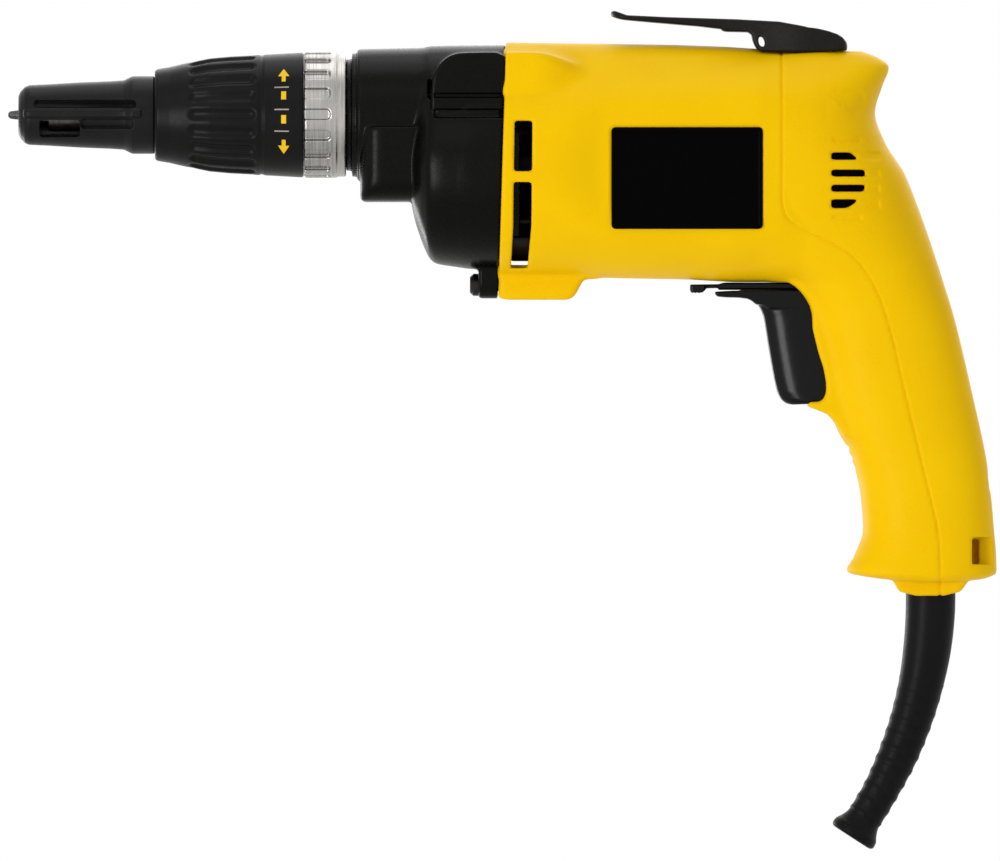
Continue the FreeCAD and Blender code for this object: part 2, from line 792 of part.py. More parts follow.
# Depth collar: a fluted grip that turns on the sleeve and carries the nosepiece
COLLAR_BROW = "(nose_length + collar_front_length)"
COLLAR_WAIST = f"({COLLAR_BROW} + collar_brow_length)"
FLUTE_BACK = f"({COLLAR_BROW} + flute_length)"
SLEEVE_CLEAR = "(sleeve_radius + run_gap)"
CLICK_BACK = f"({COLLAR_BACK} - click_spring_setback)"
CLICK_FRONT = f"({CLICK_BACK} - click_spring_width)"
CLICK_ROOF = f"({SLEEVE_CLEAR} + click_spring_thickness + 2 * part_gap)"
collar_blank = turned("collar_blank", [
    ("nose_length", "nose_skirt_radius + seat_gap"),
    (f"{SKIRT_BACK}", "nose_skirt_radius + seat_gap"),
    (f"{SKIRT_BACK}", SLEEVE_CLEAR),
    (f"{CLICK_FRONT} - seat_gap", SLEEVE_CLEAR),
    (f"{CLICK_FRONT} - seat_gap", CLICK_ROOF),
    (f"{CLICK_BACK} + seat_gap", CLICK_ROOF),
    (f"{CLICK_BACK} + seat_gap", SLEEVE_CLEAR),
    (COLLAR_BACK, SLEEVE_CLEAR),
    (COLLAR_BACK, "collar_rear_radius"),
    (FLUTE_BACK, "collar_flute_radius"),
    (COLLAR_WAIST, "collar_waist_radius"),
    (COLLAR_BROW, "collar_brow_radius"),
    ("nose_length", "collar_front_radius"),
])


def flute_cutters():
    """Round bars sunk into the collar's cone by the flute depth, one for each flute."""
    lift = value("flute_cut_radius - flute_depth")
    front = Vector(value(COLLAR_BROW), 0, value("collar_brow_radius") + lift)
    back = Vector(value(FLUTE_BACK), 0, value("collar_flute_radius") + lift)
    radius = value("flute_cut_radius")
    bar = Part.makeCylinder(radius, back.distanceToPoint(front), front, back - front)
    bar = bar.fuse([Part.makeSphere(radius, front), Part.makeSphere(radius, back)])
    count = int(value("flute_count"))
    bars = []
    for index in range(count):
        bars.append(bar.rotated(Vector(), Vector(1, 0, 0), index * 360 / count))
    return Part.makeCompound(bars)


piece(cut("depth_collar", collar_blank, [solid("flutes", flute_cutters())]))

click_whole = ring(
    "click_hoop", CLICK_FRONT, CLICK_BACK, f"{SLEEVE_CLEAR} + part_gap",
    f"{SLEEVE_CLEAR} + part_gap + click_spring_thickness",
)
click_mouth_heights = ("-click_spring_width", "click_spring_width")
click_mouth_reach = (f"{CLICK_FRONT} - overrun", f"{CLICK_BACK} + overrun")
click_mouth = block("click_mouth", click_mouth_reach, ("0", "collar_rear_radius"), click_mouth_heights)
piece(cut("collar_click_spring", click_whole, [click_mouth]))

# Sleeve that carries the collar, and the slotted ring behind the collar
piece(ring("threaded_sleeve", SLEEVE_FRONT, SLEEVE_BACK, "sleeve_bore_radius", "sleeve_radius"))
SLOT_BACK = f"({RING_FRONT} + ring_slot_length)"
BAND_FRONT = f"({RING_BACK} - ring_band_length)"
detent_ring = turned("detent_ring", [
    (RING_FRONT, "sleeve_radius + seat_gap"),
    (RING_BACK, "sleeve_radius + seat_gap"),
    (RING_BACK, "ring_radius - ring_band_step"),
    (BAND_FRONT, "ring_radius - ring_band_step"),
    (BAND_FRONT, "ring_radius"),
    (RING_FRONT, "ring_radius"),
])
slot_sketch = new_sketch(detent_ring, "YZ_Plane", SLOT_BACK)
draw_outline(slot_sketch, [
    ("-ring_slot_width / 2", "ring_radius - ring_slot_depth"),
    ("ring_slot_width / 2", "ring_radius - ring_slot_depth"),
    ("ring_slot_width / 2", "ring_radius + overrun"),
    ("-ring_slot_width / 2", "ring_radius + overrun"),
])
ring_slot = pocket(detent_ring, slot_sketch, "ring_slot_length + overrun")
repeat(detent_ring, ring_slot, "ring_slot_count")
piece(detent_ring)

# Spindle with its hexagonal socket and clutch dogs, and what it runs in
SPINDLE_FRONT = f"({HOLDER_BACK} + seat_gap)"
spindle_bar = turned("spindle_bar", [
    (SPINDLE_FRONT, "0"),
    (TAIL_BACK, "0"),
    (TAIL_BACK, "tail_radius"),
    (CLUTCH_BACK, "tail_radius"),
    (CLUTCH_BACK, "clutch_radius"),
    (CLUTCH_FRONT, "clutch_radius"),
    (CLUTCH_FRONT, "spindle_radius"),
    (SPINDLE_FRONT, "spindle_radius"),
])


def dogs(label, front, back, first_angle):
    """Clutch dogs: short ring sectors spaced evenly about the spindle axis."""
    count = int(value("dog_count"))
    made = []
    for index in range(count):
        middle = f"({first_angle} + {index} * 360 / dog_count)"
        made.append(
            sector(
                f"{label}_{index}", (front, back), "dog_inner_radius", "clutch_radius", middle,
                "dog_angle",
            )
        )
    return made


spindle_dogs = dogs(
    "spindle_dog", f"({CLUTCH_BACK} - seat_gap)", f"({CLUTCH_BACK} + spindle_dog_height)", "0",
)
spindle_solid = fuse("spindle_solid", [spindle_bar] + spindle_dogs)
SOCKET_BACK = f"{SHANK_BACK} + part_gap"
spindle_socket = hexagon(
    "spindle_socket", f"{SPINDLE_FRONT} - overrun", SOCKET_BACK, "(bit_across + 2 * run_gap)",
)
piece(cut("spindle", spindle_solid, [spindle_socket]))
SPINDLE_CLEAR = "spindle_radius + run_gap"
SLEEVE_SEAT = "sleeve_bore_radius - seat_gap"
piece(ring("felt_seal", SLEEVE_FRONT, f"({BUSH_FRONT} - seat_gap)", SPINDLE_CLEAR, SLEEVE_SEAT))
piece(ring("spindle_front_bush", BUSH_FRONT, f"({BUSH_FRONT} + bush_length)", SPINDLE_CLEAR, SLEEVE_SEAT))
TAIL_CLEAR = "tail_radius + run_gap"
piece(ring("thrust_washer", WASHER_FRONT, TAIL_HUB_FRONT, TAIL_CLEAR, "washer_radius"))
piece(ring("spindle_tail_bearing", TAIL_HUB_FRONT, PLATE_BACK, TAIL_CLEAR, "tail_bearing_radius"))

# Drive gear with its clutch dogs, in mesh with the pinion on the armature shaft
ADDENDUM_SHARE = 0.8
DEDENDUM_SHARE = 1.15
GAP_ROOT_SHARE = 0.58
GAP_TIP_SHARE = 1.58


def cut_teeth(body, teeth, back, length, half_step):
    """Cut tooth gaps into a turned blank, with a gap or a tooth facing the mating gear."""
    pitch_radius = f"({GEAR_MODULE} * {teeth} / 2)"
    root = f"({pitch_radius} - {DEDENDUM_SHARE} * {GEAR_MODULE})"
    tip = f"({pitch_radius} + {ADDENDUM_SHARE} * {GEAR_MODULE} + {GEAR_MODULE})"
    root_half = f"{GAP_ROOT_SHARE} * {GEAR_MODULE}"
    tip_half = f"{GAP_TIP_SHARE} * {GEAR_MODULE}"
    sketch = new_sketch(body, "YZ_Plane", back)
    sketch.AttachmentOffset = Placement(Vector(), Rotation(Vector(0, 0, 1), value(half_step)))
    sketch.setExpression("AttachmentOffset.Base.z", full(back))
    draw_outline(sketch, [
        (f"-{root_half}", root),
        (root_half, root),
        (tip_half, tip),
        (f"-{tip_half}", tip),
    ])
    gap = pocket(body, sketch, length)
    repeat(body, gap, teeth)


GEAR_TIP = f"({GEAR_MODULE} * (gear_teeth / 2 + {ADDENDUM_SHARE}))"
gear_wheel = ring("gear_wheel", GEAR_FRONT, GEAR_BACK, TAIL_CLEAR, GEAR_TIP)
cut_teeth(gear_wheel, "gear_teeth", f"({GEAR_BACK} + overrun)", "gear_width + 2 * overrun", "180")
gear_dogs = dogs(
    "gear_dog", f"({GEAR_FRONT} - gear_dog_height)", f"({GEAR_FRONT} + seat_gap)", "180 / dog_count",
)
piece(fuse("drive_gear", [gear_wheel] + gear_dogs))
spring_gap = f"({GEAR_FRONT} - {CLUTCH_BACK})"
clutch_spring = coil_spring(
    "clutch_spring", f"({spring_gap} - 2 * seat_gap)", "clutch_spring_radius", "clutch_spring_wire",
    "clutch_spring_turns",
)
place(clutch_spring, f"{CLUTCH_BACK} + seat_gap + clutch_spring_wire", turn=ALONG_X)
piece(clutch_spring)

# Gear case: neck, lower boss, egg-shaped chamber, upper shoulders and lower ear
neck = turned("neck", [
    (RING_BACK, "0"),
    (f"{CASE_FRONT} + case_wall", "0"),
    (f"{CASE_FRONT} + case_wall", "neck_radius"),
    (NECK_FRONT, "neck_front_radius"),
    (NECK_FRONT, "neck_flange_radius"),
    (FLANGE_FRONT, "neck_flange_radius"),
    (FLANGE_FRONT, "neck_groove_radius"),
    (RING_BACK, "neck_groove_radius"),
])
BOSS_FRONT = f"({CASE_FRONT} - boss_length)"
BOSS_BACK = f"({CASE_FRONT} + case_wall)"
boss_bars = []
for index, side in enumerate(("-boss_side", "boss_side")):
    bar = turned(f"boss_bar_{index}", [
        (BOSS_FRONT, "0"),
        (BOSS_BACK, "0"),
        (BOSS_BACK, "boss_radius"),
        (f"{BOSS_FRONT} + boss_round", "boss_radius"),
        (BOSS_FRONT, "boss_radius - boss_round"),
    ])
    boss_bars.append(place(bar, y=side, z="-motor_drop"))
boss_middle = side_slab("boss_middle", [
    (BOSS_FRONT, "-motor_drop - boss_radius + boss_round"),
    (f"{BOSS_FRONT} + boss_round", "-motor_drop - boss_radius"),
    (BOSS_BACK, "-motor_drop - boss_radius"),
    (BOSS_BACK, "-motor_drop + boss_radius"),
    (f"{BOSS_FRONT} + boss_round", "-motor_drop + boss_radius"),
    (BOSS_FRONT, "-motor_drop + boss_radius - boss_round"),
], "boss_side")
chamber_front = egg_bar(
    "chamber_front", CASE_FRONT, f"({CASE_FRONT} + case_round)", "(case_low_radius - case_round)",
    "neck_radius",
)
chamber = egg_bar("chamber", f"({CASE_FRONT} + case_round)", CASE_BACK, "case_low_radius", "neck_radius")
SHOULDER_FRONT = f"({CASE_FRONT} + shoulder_setback)"
shoulders = side_slab("shoulders", [
    (SHOULDER_FRONT, "shoulder_bottom"),
    (CASE_BACK, "shoulder_bottom"),
    (CASE_BACK, "shoulder_top"),
    (f"{SHOULDER_FRONT} + shoulder_corner", "shoulder_top"),
    (f"{SHOULDER_FRONT} + shoulder_corner / 4", "shoulder_top - shoulder_corner / 4"),
    (SHOULDER_FRONT, "shoulder_top - shoulder_corner"),
], "shoulder_half_width")
EAR_FRONT = f"({CASE_BACK} - ear_length)"
ear = block(
    "ear", (EAR_FRONT, CASE_BACK), ("-ear_half_width", "ear_half_width"),
    ("-ear_bottom", "-lower_screw_drop + ear_half_width"),
)
case_solid = fuse("case_solid", [neck, boss_middle, chamber_front, chamber, shoulders, ear] + boss_bars)
CAVITY_FRONT = f"({CASE_FRONT} + case_wall)"
case_cavity = egg_bar(
    "case_cavity", CAVITY_FRONT, f"({CASE_BACK} + overrun)", "(case_low_radius - case_wall)",
    "(neck_radius - case_wall)",
)
sleeve_seat = rod(
    "sleeve_seat", f"({RING_BACK} - overrun)", f"({SLEEVE_BACK} + seat_gap)", "sleeve_radius + seat_gap",
)
neck_bore = rod("neck_bore", SLEEVE_BACK, f"({CAVITY_FRONT} + overrun)", "neck_bore_radius")
boss_bore = rod(
    "boss_bore", f"({SLEEVE_BACK} + case_wall)", f"({CAVITY_FRONT} + overrun)", "boss_bore_radius",
    z="-motor_drop",
)
SCREW_CLEAR = "screw_radius + seat_gap"
UPPER_HEAD_SEAT = f"({SHOULDER_FRONT} + shoulder_corner)"
screw_places = [("upper_screw_side", "upper_screw_rise", UPPER_HEAD_SEAT)]
screw_places.append(("-upper_screw_side", "upper_screw_rise", UPPER_HEAD_SEAT))
screw_places.append(("0", "-lower_screw_drop", EAR_FRONT))
case_cuts = [case_cavity, sleeve_seat, neck_bore, boss_bore]
case_screws = []
for index, (side, rise, seat) in enumerate(screw_places):
    hole_front = f"({seat} - shoulder_corner - overrun)"
    case_cuts.append(
        rod(f"case_screw_hole_{index}", seat, f"({CASE_BACK} + overrun)", SCREW_CLEAR, side, rise)
    )
    case_cuts.append(
        rod(f"case_screw_sink_{index}", hole_front, seat, "screw_head_radius + part_gap", side, rise)
    )
    made = screw(
        f"case_screw_{index}", "screw_radius", "screw_head_radius", "screw_head_length",
        f"({CASE_BACK} - {seat} + case_boss_length - part_gap)",
    )
    case_screws.append(place(made, seat, side, rise))
piece(cut("gear_case", case_solid, case_cuts))
piece(group("gear_case_screws", case_screws))

# Bearing plate that closes the gear chamber and carries the front armature bearing and the spindle's tail
PLATE_LOW = "(case_low_radius - case_wall - seat_gap)"
PLATE_HIGH = "(neck_radius - case_wall - seat_gap)"
plate_sheet = egg_bar("plate_sheet", PLATE_FRONT, PLATE_BACK, PLATE_LOW, PLATE_HIGH)
FRONT_BEARING_FRONT = f"({PLATE_MID} - front_bearing_width / 2)"
FRONT_BEARING_BACK = f"({PLATE_MID} + front_bearing_width / 2)"
HUB_RADIUS = "front_bearing_radius + bearing_hub_wall"
bearing_hub = rod("bearing_hub", FRONT_BEARING_FRONT, FRONT_BEARING_BACK, HUB_RADIUS, z="-motor_drop")
tail_hub = rod("tail_hub", TAIL_HUB_FRONT, PLATE_BACK, "tail_hub_radius")
plate_solid = fuse("plate_solid", [plate_sheet, bearing_hub, tail_hub])
BORE_SPAN = (f"({TAIL_HUB_FRONT} - overrun)", f"({FRONT_BEARING_BACK} + overrun)")
bearing_bore = rod("bearing_bore", *BORE_SPAN, "front_bearing_radius + seat_gap", z="-motor_drop")
tail_bore = rod("tail_bore", *BORE_SPAN, "tail_bearing_radius + seat_gap")
piece(cut("bearing_plate", plate_solid, [bearing_bore, tail_bore]))


def ball_bearing(label, front, back, inner, outer):
    """A shielded bearing: a ring with a shallow channel turned into each face."""
    low = f"({inner} + ({outer} - {inner}) * bearing_shield_share)"
    high = f"({outer} - ({outer} - {inner}) * bearing_shield_share)"
    front_floor = f"({front} + bearing_shield_depth)"
    back_floor = f"({back} - bearing_shield_depth)"
    bearing = turned(label, [
        (front, inner), (back, inner), (back, low), (back_floor, low), (back_floor, high), (back, high),
        (back, outer), (front, outer), (front, high), (front_floor, high), (front_floor, low), (
            front, low,
        ),
    ])
    return on_motor_axis(bearing)


piece(
    ball_bearing(
        "armature_front_bearing", FRONT_BEARING_FRONT, FRONT_BEARING_BACK, "(shaft_radius + run_gap)",
        "front_bearing_radius",
    )
)
piece(
    ball_bearing(
        "armature_rear_bearing", REAR_BEARING_FRONT, REAR_BEARING_BACK, "(journal_radius + run_gap)",
        "rear_bearing_radius",
    )
)

# Armature: shaft with its pinion, fan, core, coils and commutator
PINION_TIP = f"({GEAR_MODULE} * (pinion_teeth / 2 + {ADDENDUM_SHARE}))"
armature_shaft = turned("armature_shaft", [
    (GEAR_FRONT, "0"),
    (REAR_BEARING_BACK, "0"),
    (REAR_BEARING_BACK, "journal_radius"),
    (BRACKET_FRONT, "journal_radius"),
    (BRACKET_FRONT, "shaft_radius"),
    (f"{GEAR_BACK} + part_gap", "shaft_radius"),
    (f"{GEAR_BACK} + part_gap", PINION_TIP),
    (GEAR_FRONT, PINION_TIP),
])
cut_teeth(
    armature_shaft, "pinion_teeth", f"({GEAR_BACK} + part_gap)", "gear_width + part_gap + overrun",
    "180 / pinion_teeth",
)
piece(on_motor_axis(armature_shaft))

SHAFT_SEAT = "shaft_radius + seat_gap"
DISC_FRONT = f"({FAN_BACK} - fan_disc_thickness)"
cooling_fan = turned("cooling_fan", [
    (FAN_FRONT, SHAFT_SEAT),
    (FAN_BACK, SHAFT_SEAT),
    (FAN_BACK, "fan_radius"),
    (DISC_FRONT, "fan_radius"),
    (DISC_FRONT, "fan_hub_radius"),
    (FAN_FRONT, "fan_hub_radius"),
])
blade_sketch = new_sketch(cooling_fan, "XZ_Plane")
BLADE_ROOT = "(fan_hub_radius - fan_blade_thickness)"
BLADE_BACK = f"({FAN_BACK} - fan_disc_thickness / 2)"
draw_outline(blade_sketch, [
    (FAN_FRONT, BLADE_ROOT),
    (BLADE_BACK, BLADE_ROOT),
    (BLADE_BACK, "fan_radius"),
    (FAN_FRONT, "fan_radius"),
])
fan_blade = pad(cooling_fan, blade_sketch, "fan_blade_thickness", symmetric=True)
repeat(cooling_fan, fan_blade, "fan_blade_count")
piece(on_motor_axis(cooling_fan))


def slotted_ring(label, front, back, outer, count, width, depth):
    """A ring on the armature shaft with slots along its rim."""
    body = ring(label, front, back, SHAFT_SEAT, outer)
    sketch = new_sketch(body, "YZ_Plane", f"({back} + overrun)")
    floor = f"{outer} - {depth}"
    roof = f"{outer} + overrun"
    half = f"{width} / 2"
    draw_outline(sketch, [(f"-{half}", floor), (half, floor), (half, roof), (f"-{half}", roof)])
    slot = pocket(body, sketch, f"{back} - {front} + 2 * overrun")
    repeat(body, slot, count)
    return on_motor_axis(body)


piece(
    slotted_ring(
        "armature_core", CORE_FRONT, CORE_BACK, "core_radius", "core_slot_count", "core_slot_width",
        "core_slot_depth",
    )
)
piece(slotted_ring(
    "commutator", COMMUTATOR_FRONT, COMMUTATOR_BACK, "commutator_radius",
    "commutator_bar_count", "commutator_slit_width", "commutator_slit_depth",
))


def armature_coil(label, face, outward):
    """The wound end of the armature, rounded off away from the core."""
    far = f"({face} {outward} armature_coil_length)"
    brow = f"({face} {outward} armature_coil_length / 2)"
    return on_motor_axis(turned(label, [
        (face, SHAFT_SEAT),
        (far, SHAFT_SEAT),
        (far, "(armature_coil_radius + shaft_radius) / 2"),
        (brow, "armature_coil_radius"),
        (face, "armature_coil_radius"),
    ]))


front_coil = armature_coil("front_coil", f"({CORE_FRONT} - seat_gap)", "-")
rear_coil = armature_coil("rear_coil", f"({CORE_BACK} + seat_gap)", "+")
piece(group("armature_windings", [front_coil, rear_coil]))

# Field: laminated core that sits in the barrel, its two coils and the fan baffle
BORE = "(core_radius + air_gap)"
FIELD_SPAN = (CORE_FRONT, CORE_BACK)
field_round = rod("field_round", CORE_FRONT, CORE_BACK, FIELD_RADIUS, z="-motor_drop")
FIELD_FLAT = f"({INNER_FLAT} - part_gap)"
field_block = block(
    "field_block", FIELD_SPAN, (f"-{FIELD_FLAT}", FIELD_FLAT),
    (f"-motor_drop - {FIELD_RADIUS}", f"-motor_drop + {FIELD_RADIUS}"),
)
LONG_SPAN = (f"({CORE_FRONT} - overrun)", f"({CORE_BACK} + overrun)")
field_bore = rod("field_bore", *LONG_SPAN, BORE, z="-motor_drop")
WINDOW_ROOF = f"({BORE} + window_depth)"
field_cuts = [field_bore]
for name, middle in (("left", "90"), ("right", "270")):
    window = sector(f"field_window_{name}", LONG_SPAN, "core_radius", WINDOW_ROOF, middle, "window_angle")
    field_cuts.append(on_motor_axis(window))
piece(cut("field_core", common("field_lamination", [field_round, field_block]), field_cuts))

COIL_SPAN = (f"({CORE_FRONT} - coil_overhang)", f"({CORE_BACK} + coil_overhang)")
POLE_SPAN = (f"({CORE_FRONT} - part_gap)", f"({CORE_BACK} + part_gap)")
field_coils = []
for name, middle in (("upper", "180"), ("lower", "0")):
    hoop = sector(
        f"{name}_coil_hoop", COIL_SPAN, f"({BORE} + part_gap)", f"({WINDOW_ROOF} - part_gap)", middle,
        "(180 - coil_split_angle)",
    )
    pole = sector(
        f"{name}_pole_room", POLE_SPAN, "core_radius", f"({WINDOW_ROOF} + overrun)", middle,
        "(180 - window_angle + coil_split_angle / 2)",
    )
    field_coils.append(on_motor_axis(cut(f"{name}_coil", hoop, [pole])))
piece(group("field_windings", field_coils))

BARREL_LOW_IN = "(barrel_low_radius - barrel_wall)"
BARREL_HIGH_IN = "(barrel_high_radius - barrel_wall)"
BAFFLE_SPAN = (BAFFLE_FRONT, f"({BAFFLE_FRONT} + baffle_thickness)")
baffle_sheet = egg_bar(
    "baffle_sheet", *BAFFLE_SPAN, f"({BARREL_LOW_IN} - seat_gap)", f"({BARREL_HIGH_IN} - seat_gap)",
)
baffle_hole = rod(
    "baffle_hole", f"({BAFFLE_FRONT} - overrun)", f"({BAFFLE_FRONT} + overrun)", "baffle_hole_radius",
    z="-motor_drop",
)
piece(cut("fan_baffle", baffle_sheet, [baffle_hole]))

# Rear bearing bracket across the barrel, with arms that carry the brush holders
BRACKET_SIDE = f"({INNER_FLAT} - seat_gap)"
BRACKET_SPAN = (BRACKET_FRONT, REAR_BEARING_FRONT)
bracket_heights = ("-motor_drop - bracket_half_height", "-motor_drop + bracket_half_height")
bracket_bar = block("bracket_bar", BRACKET_SPAN, (f"-{BRACKET_SIDE}", BRACKET_SIDE), bracket_heights)
bracket_hub = rod(
    "bracket_hub", BRACKET_FRONT, REAR_BEARING_BACK, "rear_bearing_radius + bearing_hub_wall",
    z="-motor_drop",
)
HOLDER_IN = "(commutator_radius + brush_holder_gap)"
HOLDER_OUT = f"({HOLDER_IN} + brush_holder_length)"
HOLDER_REAR = f"({COMMUTATOR_MID} + holder_half_width)"
HOLDER_SPAN = (f"({COMMUTATOR_MID} - holder_half_width)", HOLDER_REAR)
ARM_SPAN = (f"({HOLDER_REAR} + seat_gap)", REAR_BEARING_FRONT)
holder_heights = ("-motor_drop - brush_holder_half_height", "-motor_drop + brush_holder_half_height")
arms = []
holders = []
brushes = []
springs = []
TUBE_SPAN = (
    f"({COMMUTATOR_MID} - holder_half_width + brush_holder_wall)", f"({HOLDER_REAR} - brush_holder_wall)",
)
tube_heights = (f"{holder_heights[0]} + brush_holder_wall", f"{holder_heights[1]} - brush_holder_wall")
BRUSH_SPAN = (f"({TUBE_SPAN[0]} + run_gap)", f"({TUBE_SPAN[1]} - run_gap)")
brush_heights = (f"{tube_heights[0]} + run_gap", f"{tube_heights[1]} - run_gap")
BRUSH_IN = "(commutator_radius + brush_contact_gap)"
BRUSH_OUT = f"({BRUSH_IN} + brush_length)"
CAP_IN = f"({HOLDER_OUT} - brush_holder_wall)"
arm_spans = both_sides(f"({HOLDER_IN} + brush_holder_wall)", HOLDER_OUT)
holder_spans = both_sides(HOLDER_IN, HOLDER_OUT)
tube_spans = both_sides(f"({HOLDER_IN} - overrun)", CAP_IN)
brush_spans = both_sides(BRUSH_IN, BRUSH_OUT)
SPRING_LENGTH = f"({CAP_IN} - {BRUSH_OUT} - 2 * seat_gap)"
for index, sign in enumerate((-1, 1)):
    arms.append(block(f"brush_arm_{index}", ARM_SPAN, arm_spans[index], holder_heights))
    holder_box = block(f"holder_box_{index}", HOLDER_SPAN, holder_spans[index], holder_heights)
    holder_tube = block(f"holder_tube_{index}", TUBE_SPAN, tube_spans[index], tube_heights)
    holders.append(cut(f"brush_holder_{index}", holder_box, [holder_tube]))
    brushes.append(block(f"brush_{index}", BRUSH_SPAN, brush_spans[index], brush_heights))
    spring = coil_spring(
        f"brush_spring_{index}", SPRING_LENGTH, "brush_spring_radius", "brush_spring_wire",
        "brush_spring_turns",
    )
    spring_start = f"{sign} * ({BRUSH_OUT} + seat_gap + brush_spring_wire)"
    springs.append(
        place(spring, COMMUTATOR_MID, spring_start, "-motor_drop", Rotation(Vector(1, 0, 0), -90 * sign))
    )
bracket_solid = fuse("bracket_solid", [bracket_bar, bracket_hub] + arms)
rear_bearing_bore = rod(
    "rear_bearing_bore", REAR_BEARING_FRONT, f"({REAR_BEARING_BACK} + overrun)",
    "rear_bearing_radius + seat_gap", z="-motor_drop",
)
journal_bore = rod(
    "journal_bore", f"({BRACKET_FRONT} - overrun)", f"({REAR_BEARING_FRONT} + overrun)",
    "shaft_radius + bracket_shaft_gap", z="-motor_drop",
)
piece(cut("rear_bearing_bracket", bracket_solid, [rear_bearing_bore, journal_bore]))
piece(group("brush_holders", holders))
piece(group("carbon_brushes", brushes))
piece(group("brush_springs", springs))

# Yellow shells: a barrel with flat sides, a rounded head and a swept grip, split by the seam
# Each handle section is (share of the height down, of the reach to front and back, of the half width)
HANDLE_SHARES = [
    (0.000, -0.314, 0.390, 0.370),
    (0.030, -0.314, 0.480, 0.560),
    (0.065, -0.314, 0.462, 0.760),
    (0.115, -0.314, 0.432, 0.940),
    (0.170, -0.314, 0.484, 1.000),
    (0.230, -0.314, 0.572, 1.000),
    (0.290, -0.314, 0.632, 0.985),
    (0.345, -0.270, 0.681, 0.910),
    (0.395, -0.120, 0.722, 0.810),
    (0.441, 0.050, 0.758, 0.715),
    (0.495, 0.127, 0.799, 0.645),
    (0.570, 0.172, 0.845, 0.610),
    (0.650, 0.212, 0.890, 0.603),
    (0.707, 0.259, 0.922, 0.597),
    (0.765, 0.325, 0.951, 0.590),
    (0.835, 0.368, 0.974, 0.590),
    (0.900, 0.380, 0.988, 0.597),
    (0.950, 0.340, 0.998, 0.620),
    (0.982, 0.300, 1.000, 0.640),
    (1.000, 0.360, 0.955, 0.580),
]
SECTION_POINTS = 16
SECTION_FULLNESS = 2.4


def oval(middle, half_length, half_width, height):
    """A closed level section, fuller than an ellipse, as one smooth curve."""
    points = []
    for index in range(SECTION_POINTS):
        angle = 2 * math.pi * index / SECTION_POINTS
        across, along = math.cos(angle), math.sin(angle)
        along = math.copysign(abs(along) ** (2 / SECTION_FULLNESS), along)
        across = math.copysign(abs(across) ** (2 / SECTION_FULLNESS), across)
        points.append(Vector(middle + half_length * along, half_width * across, height))
    curve = Part.BSplineCurve()
    curve.interpolate(Points=points, PeriodicFlag=True)
    return Part.Wire(curve.toShape())


def handle_loft(wall):
    """The head behind the barrel and the grip below it, drawn in on all sides by a wall."""
    start, reach = value(SEAM), value("handle_reach")
    top, height = value("head_top") - wall, value("handle_height") - 2 * wall
    sections = []
    for down, front, back, wide in HANDLE_SHARES:
        middle = start + reach * (front + back) / 2
        half_length = reach * (back - front) / 2 - wall
        half_width = wide * value("barrel_flat") - wall
        sections.append(oval(middle, half_length, half_width, top - down * height))
    return Part.makeLoft(sections, True, False)


barrel_bar = egg_bar("barrel_bar", CASE_BACK, SEAM, "barrel_low_radius", "barrel_high_radius")
BARREL_CLEAR = "(barrel_low_radius + overrun)"
flat_heights = ("-motor_drop - barrel_low_radius", "-flat_top")
flat_reach = (FLAT_FRONT, f"({SEAM} + overrun)")
flat_cuts = []
for index, span in enumerate(both_sides("barrel_flat", BARREL_CLEAR)):
    flat_cuts.append(block(f"flat_cut_{index}", flat_reach, span, flat_heights))
LUG_BACK = f"({CASE_BACK} + lug_length)"
LUG_TOP = "-motor_drop - barrel_low_radius + barrel_wall"
lug = side_slab("lug", [
    (CASE_BACK, "-lug_bottom"),
    (f"{LUG_BACK} - lug_slope", "-lug_bottom"),
    (f"{LUG_BACK} - lug_slope / 4", "-lug_bottom + lug_slope / 4"),
    (LUG_BACK, "-lug_bottom + lug_slope"),
    (LUG_BACK, LUG_TOP),
    (CASE_BACK, LUG_TOP),
], "lug_half_width")
barrel = fuse("barrel", [cut("barrel_flattened", barrel_bar, flat_cuts), lug])
behind_barrel = block(
    "behind_barrel", (SEAM, f"({SEAM} + 2 * handle_reach)"), ("-2 * barrel_flat", "2 * barrel_flat"),
    ("head_top - 2 * handle_height", "2 * head_top"),
)
foot = solid("foot", Part.makeLoft([
    oval(
        value(FOOT_X), value("foot_length / 2"), value("foot_width / 2"),
        value(f"{GRIP_BOTTOM} + foot_height"),
    ),
    oval(value(FOOT_X), value(FOOT_HALF_LENGTH), value(FOOT_HALF_WIDTH), value(FOOT_BOTTOM)),
], True, True))
handle_behind = common("handle_behind", [solid("handle_whole", handle_loft(0)), behind_barrel])
handle = fuse("handle", [handle_behind, foot])

# Rooms inside the barrel and the handle, less the bosses, posts and cradles that stand in them
room_reach = (f"({FLAT_FRONT} - barrel_wall)", f"({SEAM} + overrun)")
room_cuts = []
for index, span in enumerate(both_sides(INNER_FLAT, BARREL_CLEAR)):
    room_cuts.append(block(f"room_cut_{index}", room_reach, span, flat_heights))
barrel_room_bar = egg_bar(
    "barrel_room_bar", f"({CASE_BACK} - overrun)", SEAM, BARREL_LOW_IN, BARREL_HIGH_IN,
)
barrel_room = cut("barrel_room", barrel_room_bar, room_cuts)
handle_room_whole = solid("handle_room_whole", handle_loft(value("barrel_wall")))
handle_room = common("handle_room", [handle_room_whole, behind_barrel])
CASE_BOSS_BACK = f"({CASE_BACK} + case_boss_length)"
barrel_bosses = []
for index, (side, rise, seat) in enumerate(screw_places):
    barrel_bosses.append(
        rod(f"case_boss_{index}", CASE_BACK, CASE_BOSS_BACK, "screw_boss_radius", side, rise)
    )
COVER_PLACES = [
    ("cover_screw_side", "cover_screw_rise", SEAM, "cover_boss_length"),
    ("-cover_screw_side", "cover_screw_rise", SEAM, "cover_boss_length"),
    ("0", "-cover_screw_drop", f"({SEAM} + seam_reach - foot_height)", "seam_reach / 2"),
]
handle_bosses = []
